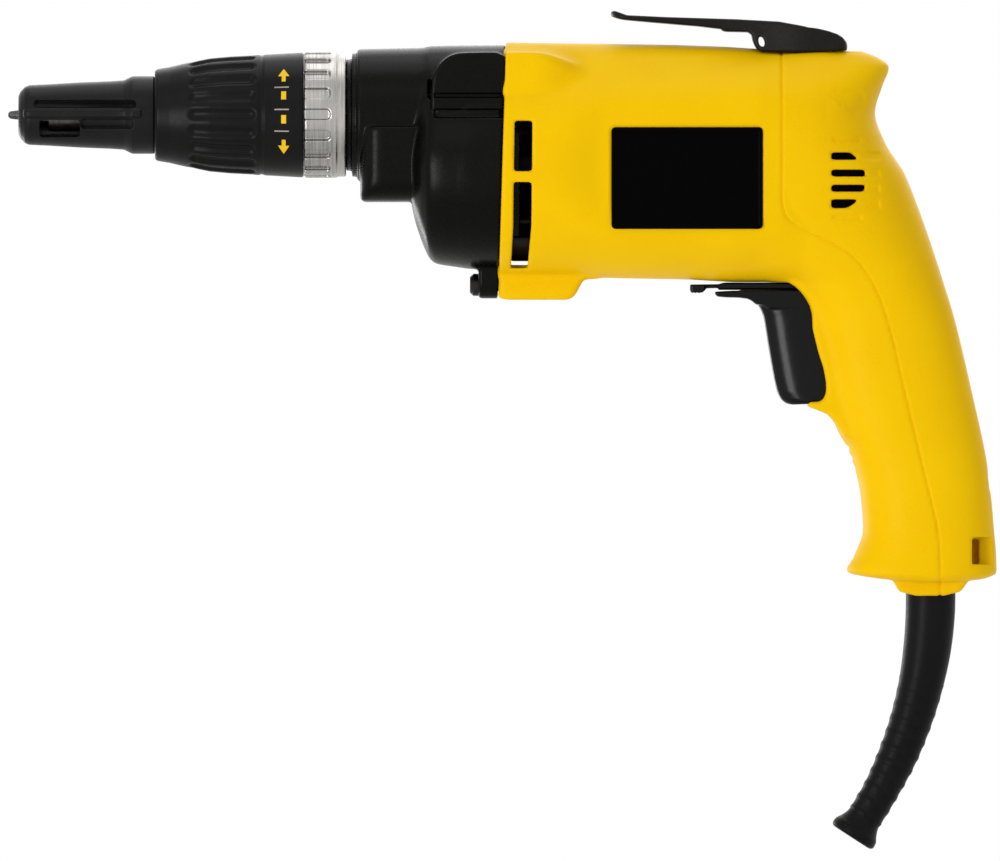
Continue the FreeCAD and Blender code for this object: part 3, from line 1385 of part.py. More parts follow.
for index, (side, rise, seam, ahead) in enumerate(COVER_PLACES):
    boss_reach = (f"({seam} - {ahead})", f"({seam} + handle_reach)")
    handle_bosses.append(rod(f"cover_boss_{index}", *boss_reach, "screw_boss_radius", side, rise))
CLAMP_X = f"({FOOT_X} + guard_bore_radius)"
CLAMP_BACK = f"({CLAMP_X} + clamp_thickness)"
for index, side in enumerate(("clamp_screw_side", "-clamp_screw_side")):
    post_reach = (CLAMP_BACK, f"({CLAMP_BACK} + handle_reach)")
    handle_bosses.append(
        rod(f"clamp_post_{index}", *post_reach, "clamp_post_radius", side, "-clamp_drop")
    )
CRADLE_SHARES = (0.2, 0.8)
for index, share in enumerate(CRADLE_SHARES):
    level = f"(-switch_top_drop - {share} * switch_height)"
    cradle_reach = (f"({SWITCH_BACK} + seat_gap)", f"({SWITCH_BACK} + handle_reach)")
    cradle_heights = (f"{level} - cradle_thickness", level)
    cradle_span = ("-cradle_half_width", "cradle_half_width")
    handle_bosses.append(block(f"cradle_{index}", cradle_reach, cradle_span, cradle_heights))
barrel_hollow = cut(
    "barrel_hollow", barrel, [cut("barrel_room_left", barrel_room, barrel_bosses + handle_bosses[:2])],
)
handle_hollow = cut("handle_hollow", handle, [cut("handle_room_left", handle_room, handle_bosses)])

# The seam runs straight down behind the barrel, then sweeps back along the grip to the foot
SEAM_SHARES = [
    (0.00, 0.000),
    (0.32, 0.064),
    (0.46, 0.098),
    (0.60, 0.180),
    (0.69, 0.291),
    (0.79, 0.475),
    (0.94, 0.730),
    (0.99, 0.812),
    (1.00, 1.000),
]


def seam_prism(shift):
    """Everything behind the seam, with the seam moved forward by a shift."""
    start, drop = value(SEAM) - shift, -value("seam_drop")
    reach, height = value("seam_reach"), value(f"-seam_drop - {FOOT_BOTTOM} + overrun")
    curve = Part.BSplineCurve()
    curve.interpolate(
        [Vector(start + back * reach, 0, drop - down * height) for back, down in SEAM_SHARES]
    )
    far = value(f"{HANDLE_BACK} + handle_reach")
    roof = value("hook_seat + hook_height")
    below = drop - height
    corners = [
        Vector(start + reach, 0, below),
        Vector(far, 0, below),
        Vector(far, 0, roof),
        Vector(start, 0, roof),
        Vector(start, 0, drop),
    ]
    wire = Part.Wire([curve.toShape()] + Part.makePolygon(corners).Edges)
    width = value("2 * barrel_low_radius")
    prism = Part.Face(wire).extrude(Vector(0, 2 * width, 0))
    prism.translate(Vector(0, -width, 0))
    return prism


seam_front = solid("seam_front", seam_prism(value("seam_gap")))
seam_back = solid("seam_back", seam_prism(0))
front_barrel = cut("front_barrel", barrel_hollow, [seam_front])
front_grip = cut("front_grip", handle_hollow, [seam_front])
housing_solid = fuse("housing_solid", [front_barrel, front_grip])
cover_solid = common("cover_solid", [handle_hollow, seam_back])

# Openings through the two shells, and the side plates and screws that sit in them
housing_cuts = []
cover_cuts = []
front_vent_reach = (
    f"({CASE_BACK} + front_vent_setback)", f"({CASE_BACK} + front_vent_setback + front_vent_width)",
)
for index, span in enumerate(both_sides("fan_hub_radius", BARREL_CLEAR)):
    upper_heights = ("-upper_vent_bottom", "-upper_vent_top")
    lower_heights = ("-lower_vent_bottom", "-lower_vent_top")
    housing_cuts.append(block(f"upper_vent_{index}", front_vent_reach, span, upper_heights))
    housing_cuts.append(block(f"lower_vent_{index}", front_vent_reach, span, lower_heights))
rear_vent_reach = (f"({SEAM} + rear_vent_setback)", f"({SEAM} + rear_vent_setback + rear_vent_length)")
for index, span in enumerate(both_sides("rear_vent_inner", BARREL_CLEAR)):
    for slot in range(int(value("rear_vent_count"))):
        vent_top = f"(-rear_vent_top - {slot} * rear_vent_pitch + rear_vent_height / 2)"
        vent_heights = (f"{vent_top} - rear_vent_height", vent_top)
        cover_cuts.append(block(f"rear_vent_{index}_{slot}", rear_vent_reach, span, vent_heights))
PLATE_START = f"({CASE_BACK} + plate_front_setback)"
PLATE_END = f"({PLATE_START} + plate_length)"
PLATE_FLOOR = "(barrel_flat - plate_recess)"
plate_heights = ("-plate_top - plate_height", "-plate_top")
recess_reach = (f"({PLATE_START} - seat_gap)", f"({PLATE_END} + seat_gap)")
recess_heights = (f"{plate_heights[0]} - seat_gap", f"{plate_heights[1]} + seat_gap")
plates = []
for index, span in enumerate(both_sides(PLATE_FLOOR, f"({PLATE_FLOOR} + plate_sheet)")):
    plates.append(block(f"side_plate_{index}", (PLATE_START, PLATE_END), span, plate_heights))
for index, span in enumerate(both_sides(PLATE_FLOOR, BARREL_CLEAR)):
    housing_cuts.append(block(f"plate_recess_{index}", recess_reach, span, recess_heights))
lanyard_reach = (f"({HANDLE_BACK} - lanyard_length)", f"({HANDLE_BACK} + overrun)")
lanyard_heights = ("-lanyard_drop - lanyard_height", "-lanyard_drop")
for index, span in enumerate(both_sides("lanyard_tongue", BARREL_CLEAR)):
    cover_cuts.append(block(f"lanyard_{index}", lanyard_reach, span, lanyard_heights))
TRIGGER_ROOM = "(trigger_half_width + part_gap)"
mouth_heights = ("-trigger_top_drop - trigger_height - part_gap", f"{LEVER_TOP} + part_gap")
mouth_reach = (TRIGGER_FRONT, SWITCH_FRONT)
housing_cuts.append(
    block("trigger_mouth", mouth_reach, (f"-{TRIGGER_ROOM}", TRIGGER_ROOM), mouth_heights)
)
guard_span = (f"({FOOT_BOTTOM} - overrun)", f"({GRIP_BOTTOM} + 2 * grip_wall)")
guard_hole = post("guard_hole", FOOT_X, "0", *guard_span, "guard_top_radius + part_gap")
for index, (side, rise, seat) in enumerate(screw_places):
    thread_reach = (f"({CASE_BACK} - overrun)", CASE_BOSS_BACK)
    housing_cuts.append(rod(f"case_thread_{index}", *thread_reach, SCREW_CLEAR, side, rise))
cover_screws = []
for index, (side, rise, seam, ahead) in enumerate(COVER_PLACES):
    seat = f"({seam} + cover_head_depth)"
    thread_reach = (f"({seam} - cover_boss_length + part_gap)", f"({seat} + seat_gap)")
    cover_thread = rod(f"cover_thread_{index}", *thread_reach, SCREW_CLEAR, side, rise)
    housing_cuts.append(cover_thread)
    cover_cuts.append(cover_thread)
    sink_reach = (seat, f"({seam} + handle_reach)")
    cover_cuts.append(rod(f"cover_sink_{index}", *sink_reach, "screw_head_radius + part_gap", side, rise))
    length = "(cover_head_depth + cover_boss_length - 2 * part_gap)"
    made = screw(f"cover_screw_{index}", "screw_radius", "screw_head_radius", "screw_head_length", length)
    cover_screws.append(place(made, seat, side, rise, Rotation(Vector(0, 0, 1), 180)))
for index, side in enumerate(("clamp_screw_side", "-clamp_screw_side")):
    thread_reach = (f"({CLAMP_BACK} - overrun)", f"({CLAMP_X} + clamp_screw_length + part_gap)")
    cover_cuts.append(
        rod(f"clamp_thread_{index}", *thread_reach, "clamp_screw_radius + seat_gap", side, "-clamp_drop")
    )
HOOK_HOLE = f"({HOOK_BACK} - hook_screw_inset)"
HOOK_FLOOR = "(head_top - part_gap)"
for index, spot in enumerate(("hook_screw_spread", "-hook_screw_spread")):
    hole_span = ("hook_seat - hook_screw_length - overrun", "hook_seat + overrun")
    cover_cuts.append(post(f"hook_thread_{index}", HOOK_HOLE, spot, *hole_span, SCREW_CLEAR))
hook_room = block(
    "hook_room", (f"({HOOK_BACK} - hook_length / 2)", f"({HOOK_BACK} + seam_gap)"),
    ("-hook_half_width - part_gap", "hook_half_width + part_gap"), (
        HOOK_FLOOR, "hook_seat + hook_height",
    ),
)
piece(cut("motor_housing", housing_solid, housing_cuts + [guard_hole, hook_room]))
piece(cut("rear_handle_cover", cover_solid, cover_cuts + [guard_hole, hook_room]))
piece(group("cover_screws", cover_screws))
piece(group("side_plates", plates))

# Belt hook on top of the head, with its two screws
HOOK_SHARES = [
    (0.000, 0.86), (0.000, 0.95), (0.015, 1.00), (0.050, 0.90), (0.080, 0.855), (0.680, 0.75),
    (0.790, 0.635), (0.900, 0.53), (0.967, 0.40), (1.000, 0.19), (0.990, 0.00), (0.640, 0.00),
    (0.622, 0.03), (0.598, 0.25), (0.592, 0.48), (0.540, 0.48), (0.470, 0.49), (0.468, 0.57),
    (0.080, 0.755), (0.040, 0.78),
]
HOOK_FRONT = f"({HOOK_BACK} - hook_length)"
hook_corners = share_corners(HOOK_SHARES, HOOK_FRONT, "hook_length", HOOK_FLOOR, "hook_height")
hook_blank = side_slab("hook_blank", hook_corners, "hook_half_width")
hook_sinks = []
hook_screws = []
HOOK_SINK = f"({HOOK_FLOOR} + hook_height / 4)"
for index, spot in enumerate(("hook_screw_spread", "-hook_screw_spread")):
    hook_sinks.append(
        post(
            f"hook_hole_{index}", HOOK_HOLE, spot, "head_top - overrun", f"{HOOK_SINK} + overrun",
            SCREW_CLEAR,
        )
    )
    hook_sinks.append(
        post(
            f"hook_sink_{index}", HOOK_HOLE, spot, HOOK_SINK, "hook_seat + hook_height",
            "screw_head_radius + part_gap",
        )
    )
    made = screw(
        f"hook_screw_{index}", "screw_radius", "screw_head_radius", "screw_head_length",
        "hook_screw_length",
    )
    hook_screws.append(place(made, HOOK_HOLE, spot, HOOK_SINK, Rotation(Vector(0, 1, 0), 90)))
piece(cut("belt_hook", hook_blank, hook_sinks))
piece(group("belt_hook_screws", hook_screws))

# Switch behind the trigger, with the tongue that carries the reversing lever
switch_case = block(
    "switch_case", (SWITCH_FRONT, SWITCH_BACK), ("-switch_half_width", "switch_half_width"),
    ("-switch_top_drop - switch_height", "-switch_top_drop"),
)
TONGUE_FRONT = f"({SWITCH_FRONT} - tongue_length)"
tongue = block(
    "tongue", (TONGUE_FRONT, SWITCH_BACK), ("-tongue_half_width", "tongue_half_width"),
    (f"{LEVER_BOTTOM} - part_gap - tongue_height", f"{LEVER_BOTTOM} - run_gap"),
)
pivot_pin = post("pivot_pin", PIVOT, "0", f"({LEVER_BOTTOM} - tongue_height)", LEVER_TOP, "pivot_radius")
plunger_hole = rod(
    "plunger_hole", f"({SWITCH_FRONT} - overrun)",
    f"({TRIGGER_BACK} + plunger_length + trigger_travel + part_gap)", "plunger_radius + run_gap",
    z="-plunger_drop",
)
switch_solid = fuse("switch_solid", [switch_case, tongue, pivot_pin])
piece(cut("switch_body", switch_solid, [plunger_hole]))

# Trigger: a curved paddle with a lip on top, and the plunger behind it
TRIGGER_SHARES = [
    (-0.197, 0.000), (-0.197, -0.030), (-0.170, -0.052), (0.150, -0.060), (0.187, -0.095), (
        0.248, -0.166,
    ),
    (0.277, -0.236), (0.326, -0.517), (0.384, -0.796), (0.445, -0.937), (0.490, -1.000), (0.710, -0.985),
    (0.760, -0.920), (1.000, -0.920), (1.000, -0.130), (0.560, -0.130), (0.480, 0.000),
]
trigger_corners = share_corners(
    TRIGGER_SHARES, TRIGGER_FRONT, "trigger_depth", "-trigger_top_drop", "trigger_height",
)
paddle = side_slab("paddle", trigger_corners, "trigger_half_width")
plunger = rod(
    "plunger", f"({TRIGGER_BACK} - part_gap)", f"({TRIGGER_BACK} + plunger_length)", "plunger_radius",
    z="-plunger_drop",
)
piece(fuse("trigger", [paddle, plunger]))
TRIGGER_SPRING_LENGTH = f"({SWITCH_FRONT} - {TRIGGER_BACK} - 2 * seat_gap)"
trigger_spring = coil_spring(
    "trigger_spring", TRIGGER_SPRING_LENGTH, "trigger_spring_radius", "trigger_spring_wire",
    "trigger_spring_turns",
)
piece(
    place(
        trigger_spring, f"{TRIGGER_BACK} + seat_gap + trigger_spring_wire", z="-plunger_drop",
        turn=ALONG_X,
    )
)

# Reversing lever on its pivot, reaching forward under the barrel to its knob
KNOB_FRONT = f"({PIVOT} - lever_length)"
KNOB_BACK = f"({KNOB_FRONT} + lever_knob_length)"
THIN_BACK = f"({KNOB_FRONT} + lever_thin_length)"
lever_knob = block(
    "lever_knob", (KNOB_FRONT, KNOB_BACK), ("-lever_knob_half_width", "lever_knob_half_width"),
    (f"{LEVER_BOTTOM} - lever_knob_drop", f"{LEVER_TOP} - lever_thin"),
)
lever_tip = block(
    "lever_tip", (f"({KNOB_BACK} - seat_gap)", f"({THIN_BACK} + seat_gap)"),
    ("-lever_half_width", "lever_half_width"), (LEVER_BOTTOM, f"{LEVER_TOP} - lever_thin"),
)
lever_arm = block(
    "lever_arm", (THIN_BACK, PIVOT), ("-lever_half_width", "lever_half_width"), (LEVER_BOTTOM, LEVER_TOP),
)
lever_eye = post("lever_eye", PIVOT, "0", LEVER_BOTTOM, LEVER_TOP, "lever_eye_radius")
lever_solid = fuse("lever_solid", [lever_knob, lever_tip, lever_arm, lever_eye])
lever_hole = post(
    "lever_hole", PIVOT, "0", f"({LEVER_BOTTOM} - overrun)", f"({LEVER_TOP} + overrun)",
    "pivot_radius + run_gap",
)
piece(cut("reversing_lever", lever_solid, [lever_hole]))

# Cord guard: a tapered rubber sleeve that curves forward from the foot, with a flared rim
GUARD_SHARES = [(0.00, 0.00), (0.25, 0.28), (0.50, 0.62), (0.75, 0.92), (1.00, 1.00)]


def guard_station(share):
    """A point of the guard's middle line, with the direction of the line there."""
    bend = value("guard_bend_radius")
    angle = math.radians(share * value("guard_bend_angle"))
    hub = Vector(value(FOOT_X) - bend, 0, value(FOOT_BOTTOM))
    outward = Vector(math.cos(angle), 0, -math.sin(angle))
    return hub + outward * bend, Vector(-math.sin(angle), 0, -math.cos(angle))


def guard_solid():
    """The tapered curve, the collar inside the foot and the flared rim, bored through for a cord."""
    top, end = value("guard_top_radius"), value("guard_end_radius")
    sections = []
    for along, narrow in GUARD_SHARES:
        centre, heading = guard_station(along)
        sections.append(Part.Wire(Part.makeCircle(top + narrow * (end - top), centre, heading)))
    taper = Part.makeLoft(sections, True, False)
    start, down = guard_station(0)
    neck_length = value("foot_height + grip_wall")
    neck_bar = Part.makeCylinder(top, neck_length, start, -down)
    collar_base = start - down * neck_length
    collar = Part.makeCylinder(
        value("guard_collar_radius"), value("guard_collar_length"), collar_base, -down,
    )
    finish, heading = guard_station(1)
    mouth = value("guard_mouth_length")
    rim_length = value("guard_rim_length")
    tip = Part.makeCylinder(end, mouth, finish, heading)
    rim = Part.makeCone(
        end, value("guard_rim_radius"), rim_length, finish + heading * (mouth - 2 * rim_length), heading,
    )
    lip = Part.makeCylinder(
        value("guard_rim_radius"), rim_length, finish + heading * (mouth - rim_length), heading,
    )
    bore = value("guard_bore_radius")
    over = value("overrun")
    entry = Part.makeCylinder(bore, neck_length + value("guard_collar_length") + over, start, -down)
    disc = Part.Face(Part.Wire(Part.makeCircle(bore, start, down)))
    bend_axis = start - Vector(value("guard_bend_radius"), 0, 0)
    curve = disc.revolve(bend_axis, Vector(0, 1, 0), value("guard_bend_angle"))
    outlet = Part.makeCylinder(bore, mouth + over, finish, heading)
    outside = taper.fuse([neck_bar, collar, tip, rim, lip]).removeSplitter()
    return outside.cut([entry, curve, outlet])


piece(solid("cord_guard", guard_solid()))

# Cord clamp on two posts of the rear cover
clamp_bar = block(
    "clamp_bar", (CLAMP_X, f"({CLAMP_BACK} - seat_gap)"), ("-clamp_half_length", "clamp_half_length"),
    ("-clamp_drop - clamp_height / 2", "-clamp_drop + clamp_height / 2"),
)
clamp_groove = post(
    "clamp_groove", FOOT_X, "0", "-clamp_drop - clamp_height", "-clamp_drop + clamp_height",
    "guard_bore_radius + clamp_thickness / 4",
)
clamp_cuts = [clamp_groove]
clamp_screws = []
for index, side in enumerate(("clamp_screw_side", "-clamp_screw_side")):
    clamp_cuts.append(
        rod(
            f"clamp_hole_{index}", f"({CLAMP_X} - overrun)", f"({CLAMP_BACK} + overrun)",
            "clamp_screw_radius + seat_gap", side, "-clamp_drop",
        )
    )
    made = screw(
        f"clamp_screw_{index}", "clamp_screw_radius", "clamp_head_radius", "clamp_head_length",
        "clamp_screw_length",
    )
    clamp_screws.append(place(made, CLAMP_X, side, "-clamp_drop"))
piece(cut("cord_clamp", clamp_bar, clamp_cuts))
piece(group("cord_clamp_screws", clamp_screws))

# Check every object, then write each sub-part
doc.recompute()
faults = [thing.Label for thing in doc.Objects if {"Invalid", "Error"} & set(thing.State)]
faults += [thing.Label for thing in PIECES if thing.Shape.isNull() or not thing.Shape.isValid()]
if faults:
    raise RuntimeError("not built: " + ", ".join(faults))
os.makedirs("parts", exist_ok=True)
for thing in PIECES:
    thing.Shape.exportStep(f"parts/{thing.Label}.step")
print(f"wrote {len(PIECES)} sub-parts")
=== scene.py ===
"""Visual model of a corded drywall screwdriver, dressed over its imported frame."""

import logging
import math
from dataclasses import dataclass
from enum import Enum
from functools import cache, reduce
from typing import Iterable, Sequence

import bmesh
import bpy
import numpy as np
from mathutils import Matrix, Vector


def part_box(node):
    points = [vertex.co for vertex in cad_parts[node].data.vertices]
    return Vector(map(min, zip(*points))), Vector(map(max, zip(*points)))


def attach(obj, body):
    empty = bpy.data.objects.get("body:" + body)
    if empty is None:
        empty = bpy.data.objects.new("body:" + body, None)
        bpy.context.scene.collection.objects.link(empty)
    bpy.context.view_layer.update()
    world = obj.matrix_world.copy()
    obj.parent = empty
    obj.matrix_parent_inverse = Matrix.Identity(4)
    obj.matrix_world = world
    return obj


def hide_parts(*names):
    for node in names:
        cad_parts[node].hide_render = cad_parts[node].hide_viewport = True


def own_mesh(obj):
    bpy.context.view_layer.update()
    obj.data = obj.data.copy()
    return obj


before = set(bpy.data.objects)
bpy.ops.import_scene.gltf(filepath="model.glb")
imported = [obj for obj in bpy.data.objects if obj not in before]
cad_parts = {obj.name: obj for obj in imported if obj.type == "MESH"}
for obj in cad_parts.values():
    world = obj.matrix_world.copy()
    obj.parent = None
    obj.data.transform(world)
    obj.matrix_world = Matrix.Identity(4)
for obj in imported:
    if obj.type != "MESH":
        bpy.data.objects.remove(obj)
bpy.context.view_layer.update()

log = logging.getLogger("screwdriver")
MM = 0.001
Field = np.ndarray
Size = float | np.ndarray
Corner = tuple[float, float]
Spot = tuple[float, float, float]
Box = tuple[Spot, Spot]
Colour = tuple[int, int, int]
Feeds = dict[str | int, object]


class Body(Enum):
    """The moving groups of the tool."""

    HOUSING = "housing"
    DRIVE = "drive"
    SPINDLE = "spindle"
    TRIGGER = "trigger"
    LEVER = "lever"
    NOSE = "nose"
    COLLAR = "collar"


class Texture(Enum):
    """How the fine detail of a finish lies on a surface."""

    GRAIN = (1.0, 1.0, 1.0)
    TURNED = (1.0, 0.03, 0.03)
    WOUND = (0.05, 1.0, 1.0)
    FIBRE = (0.25, 1.0, 1.0)


class Half(Enum):
    """The two halves of the yellow shell, on either side of the seam."""

    FRONT = -1.0
    REAR = 1.0


# Surface finishes


def light_value(step: int) -> float:
    """Turn a screen colour step of 0 to 255 into a light value.

    Args:
        step: The colour step.

    Returns:
        The linear light value.
    """
    share = step / 255.0
    return share / 12.92 if share <= 0.04045 else ((share + 0.055) / 1.055) ** 2.4


def feed(tree: bpy.types.NodeTree, node: bpy.types.Node, feeds: Feeds) -> None:
    """Set or drive the inputs of a node.

    Args:
        tree: The tree that the node is in.
        node: The node.
        feeds: The value of each input, or the output that drives it.
    """
    for name, value in feeds.items():
        if isinstance(value, bpy.types.NodeSocket):
            tree.links.new(value, node.inputs[name])
        else:
            node.inputs[name].default_value = value


def add_node(tree: bpy.types.NodeTree, kind: str, feeds: Feeds, **traits: str) -> bpy.types.Node:
    """Add a shader node to a tree.

    Args:
        tree: The tree.
        kind: The kind of node, without the words that all kinds start with.
        feeds: The value of each input, or the output that drives it.
        traits: Settings of the node itself.

    Returns:
        The node.
    """
    node = tree.nodes.new("ShaderNode" + kind)
    for trait, value in traits.items():
        setattr(node, trait, value)
    feed(tree, node, feeds)
    return node


@dataclass(frozen=True)
class Finish:
    """A surface finish that is made once, as a node material.

    Colours are screen steps from 0 to 255, and size and relief are in millimetres.
    """

    name: str
    slot: str
    colour: Colour
    fleck: Colour
    roughness: float
    spread: float
    texture: Texture = Texture.GRAIN
    size: float = 0.6
    relief: float = 0.02
    metallic: float = 0.0
    specular: float = 0.5

    @staticmethod
    def paint(colour: Colour) -> tuple[float, float, float, float]:
        """Give a screen colour as the light values that a socket takes."""
        return (*(light_value(step) for step in colour), 1.0)

    @cache
    def material(self) -> bpy.types.Material:
        """Make the node material, once for each finish.

        Returns:
            The material.
        """
        made = bpy.data.materials.new(self.name)
        made.use_nodes = True
        tree = made.node_tree
        where = add_node(tree, "TexCoord", {}).outputs["Object"]
        lay = add_node(tree, "Mapping", {"Vector": where, "Scale": self.texture.value}).outputs["Vector"]
        pitch = 1.0 / (self.size * MM)
        fine = add_node(tree, "TexNoise", {"Vector": lay, "Scale": pitch, "Detail": 3.0}).outputs["Fac"]
        pitch = 1.0 / (40.0 * self.size * MM)
        broad = add_node(tree, "TexNoise", {"Vector": where, "Scale": pitch, "Detail": 4.0}).outputs["Fac"]
        both = add_node(tree, "Math", {0: fine, 1: broad}, operation="MULTIPLY").outputs["Value"]
        blend = add_node(tree, "MapRange", {"Value": both, "From Min": 0.12, "From Max": 0.42})
        tint = add_node(tree, "Mix", {
            "A": self.paint(self.colour), "B": self.paint(self.fleck), "Factor": blend.outputs["Result"],
        }, data_type="RGBA")
        dull = add_node(tree, "MapRange", {
            "Value": fine, "From Min": 0.3, "From Max": 0.7,
            "To Min": self.roughness - self.spread, "To Max": self.roughness + self.spread,
        })
        bump = add_node(tree, "Bump", {"Height": fine, "Strength": 1.0, "Distance": self.relief * MM})
        feed(tree, tree.nodes["Principled BSDF"], {
            "Metallic": self.metallic,
            "Specular IOR Level": self.specular,
            "Base Color": tint.outputs["Result"],
            "Roughness": dull.outputs["Result"],
            "Normal": bump.outputs["Normal"],
        })
        return made


YELLOW = Finish(
    "yellow_moulding", "yellow_plastic", (241, 194, 1), (237, 187, 1), 0.44, 0.06,
    size=0.5, relief=0.01, specular=0.04,
)
BLACK = Finish(
    "black_moulding", "black_plastic", (13, 12, 12), (20, 19, 19), 0.34, 0.06,
    size=0.5, relief=0.012, specular=0.09,
)
NOSE_BLACK = Finish(
    "worn_black_moulding", "black_plastic", (16, 16, 16), (24, 23, 24), 0.36, 0.07,
    size=0.6, relief=0.014, specular=0.11,
)
GLOSS_BLACK = Finish(
    "gloss_black_moulding", "black_plastic", (6, 6, 6), (10, 10, 10), 0.21, 0.04,
    size=0.8, relief=0.004, specular=0.15,
)
CAST_BLACK = Finish(
    "black_coated_casting", "black_metal", (4, 4, 3), (8, 8, 7), 0.28, 0.05,
    size=0.9, relief=0.012, specular=0.08,
)
SHEET_BLACK = Finish(
    "black_coated_sheet", "black_metal", (18, 16, 16), (28, 25, 25), 0.36, 0.08,
    size=0.7, relief=0.012, specular=0.11,
)
PLATE = Finish(
    "bare_plate_black", "plate_black", (2, 2, 2), (3, 3, 3), 0.4, 0.05,
    size=1.2, relief=0.004, specular=0.015,
)
BRIGHT = Finish(
    "turned_bright_ring", "bright_metal", (182, 179, 175), (138, 136, 133), 0.32, 0.08,
    Texture.TURNED, 0.35, 0.010, 1.0,
)
SCREW = Finish(
    "blackened_screws", "screw_steel", (52, 50, 49), (30, 29, 29), 0.36, 0.08,
    Texture.GRAIN, 0.4, 0.008, 1.0,
)
BIT_STEEL = Finish(
    "bit_steel", "machined_steel", (92, 88, 86), (60, 57, 56), 0.38, 0.08,
    Texture.TURNED, 0.4, 0.008, 1.0,
)
STEEL = Finish(
    "turned_steel", "machined_steel", (168, 168, 170), (132, 132, 134), 0.28, 0.08,
    Texture.TURNED, 0.3, 0.006, 1.0,
)
SPRING = Finish(
    "drawn_spring_wire", "spring_steel", (150, 150, 152), (112, 112, 116), 0.30, 0.06,
    Texture.FIBRE, 0.3, 0.004, 1.0,
)
BRONZE = Finish(
    "bearing_bronze", "bronze", (176, 120, 60), (132, 86, 42), 0.40, 0.08,
    Texture.GRAIN, 0.25, 0.010, 1.0,
)
BRASS = Finish(
    "formed_brass", "brush_brass", (206, 172, 92), (168, 134, 66), 0.34, 0.08,
    Texture.FIBRE, 0.4, 0.006, 1.0,
)
COPPER = Finish(
    "wound_copper", "copper", (190, 100, 58), (124, 56, 30), 0.34, 0.10,
    Texture.WOUND, 0.5, 0.12, 1.0,
)
SHEETS = Finish(
    "stacked_sheets", "lamination", (98, 96, 94), (62, 60, 60), 0.48, 0.10,
    Texture.TURNED, 0.5, 0.05, 1.0,
)
CARBON = Finish(
    "brush_carbon", "carbon", (34, 34, 36), (52, 52, 54), 0.62, 0.08,
    Texture.GRAIN, 0.2, 0.02,
)
ALLOY = Finish(
    "cast_alloy", "plate_alloy", (158, 158, 156), (128, 128, 128), 0.46, 0.10,
    Texture.GRAIN, 0.6, 0.03, 1.0,
)
FELT = Finish(
    "seal_felt", "felt", (206, 200, 186), (168, 160, 146), 0.92, 0.05,
    Texture.FIBRE, 0.25, 0.15, specular=0.1,
)
RUBBER = Finish(
    "moulded_guard", "guard_rubber", (11, 10, 11), (17, 16, 17), 0.42, 0.07,
    size=0.4, relief=0.02, specular=0.08,
)
MARK = Finish(
    "mark_paint", "yellow_plastic", (238, 196, 22), (224, 178, 12), 0.5, 0.05,
    size=0.3, relief=0.006, specular=0.2,
)
TICK = Finish(
    "tick_paint", "bright_metal", (176, 168, 150), (150, 142, 126), 0.5, 0.05,
    size=0.3, relief=0.006, specular=0.2,
)
PAPER = Finish(
    "studio_paper", "", (244, 244, 243), (239, 239, 238), 0.9, 0.03,
    size=2.0, relief=0.02, specular=0.1,
)


# Forms: distances to a surface in millimetres, below zero inside it


def round_union(one: Field, other: Field, radius: Size) -> Field:
    """Join two forms with a fillet.

    Args:
        one: Distances to the first form.
        other: Distances to the second form.
        radius: Radius of the fillet.

    Returns:
        Distances to the joined form.
    """
    near_one, near_other = np.maximum(radius - one, 0), np.maximum(radius - other, 0)
    return np.maximum(radius, np.minimum(one, other)) - np.hypot(near_one, near_other)


def round_common(one: Field, other: Field, radius: Size) -> Field:
    """Keep what two forms share, with its edge rounded."""
    return -round_union(-one, -other, radius)


def round_cut(one: Field, other: Field, radius: Size) -> Field:
    """Cut the second form out of the first, with the rim rounded."""
    return round_common(one, -other, radius)


def common(*forms: Size) -> Field:
    """Keep what several forms share, with sharp edges."""
    return reduce(np.maximum, forms)


def outline(u: Field, v: Field, corners: Sequence[Corner]) -> Field:
    """Measure the distance to a closed flat outline.

    Args:
        u: First coordinate of the samples.
        v: Second coordinate of the samples.
        corners: Corners of the outline, in order.

    Returns:
        Distances to the outline, below zero inside it.
    """
    nearest, inside = np.float32(np.inf), np.False_
    for (u0, v0), (u1, v1) in zip(corners, [*corners[1:], corners[0]]):
        run, rise = u1 - u0, v1 - v0
        share = np.clip(((u - u0) * run + (v - v0) * rise) / (run * run + rise * rise), 0, 1)
        nearest = np.minimum(nearest, (u - u0 - share * run) ** 2 + (v - v0 - share * rise) ** 2)
        if rise:
            spans = (v >= min(v0, v1)) & (v < max(v0, v1))
            inside = inside ^ (spans & (u < u0 + (v - v0) * run / rise))
    return np.where(inside, -1.0, 1.0) * np.sqrt(nearest)


def softened(corners: Sequence[Corner], rounds: int = 2) -> list[Corner]:
    """Cut the corners of a closed outline again and again, until they run smooth.

    Args:
        corners: Corners of the outline, in order.
        rounds: How many times each corner is cut.

    Returns:
        The corners of the smooth outline.
    """
    points = list(corners)
    for _ in range(rounds):
        cut = []
        for (u0, v0), (u1, v1) in zip(points, [*points[1:], points[0]]):
            cut.append((0.75 * u0 + 0.25 * u1, 0.75 * v0 + 0.25 * v1))
            cut.append((0.25 * u0 + 0.75 * u1, 0.25 * v0 + 0.75 * v1))
        points = cut
    return points


def brick(x: Field, y: Size, z: Field, low: Spot, high: Spot, radius: float) -> Field:
    """Measure the distance to a block with rounded edges.

    Args:
        x: X of the samples.
        y: Y of the samples.
        z: Z of the samples.
        low: Lowest corner of the block.
        high: Highest corner of the block.
        radius: Radius of its edges.

    Returns:
        Distances to the block.
    """
    sides = []
    for line, start, end in zip((x, y, z), low, high):
        sides.append(np.abs(line - (start + end) / 2) - (end - start) / 2 + radius)
    outside = np.sqrt(sum(np.maximum(side, 0) ** 2 for side in sides))
    return outside + np.minimum(common(*sides), 0) - radius


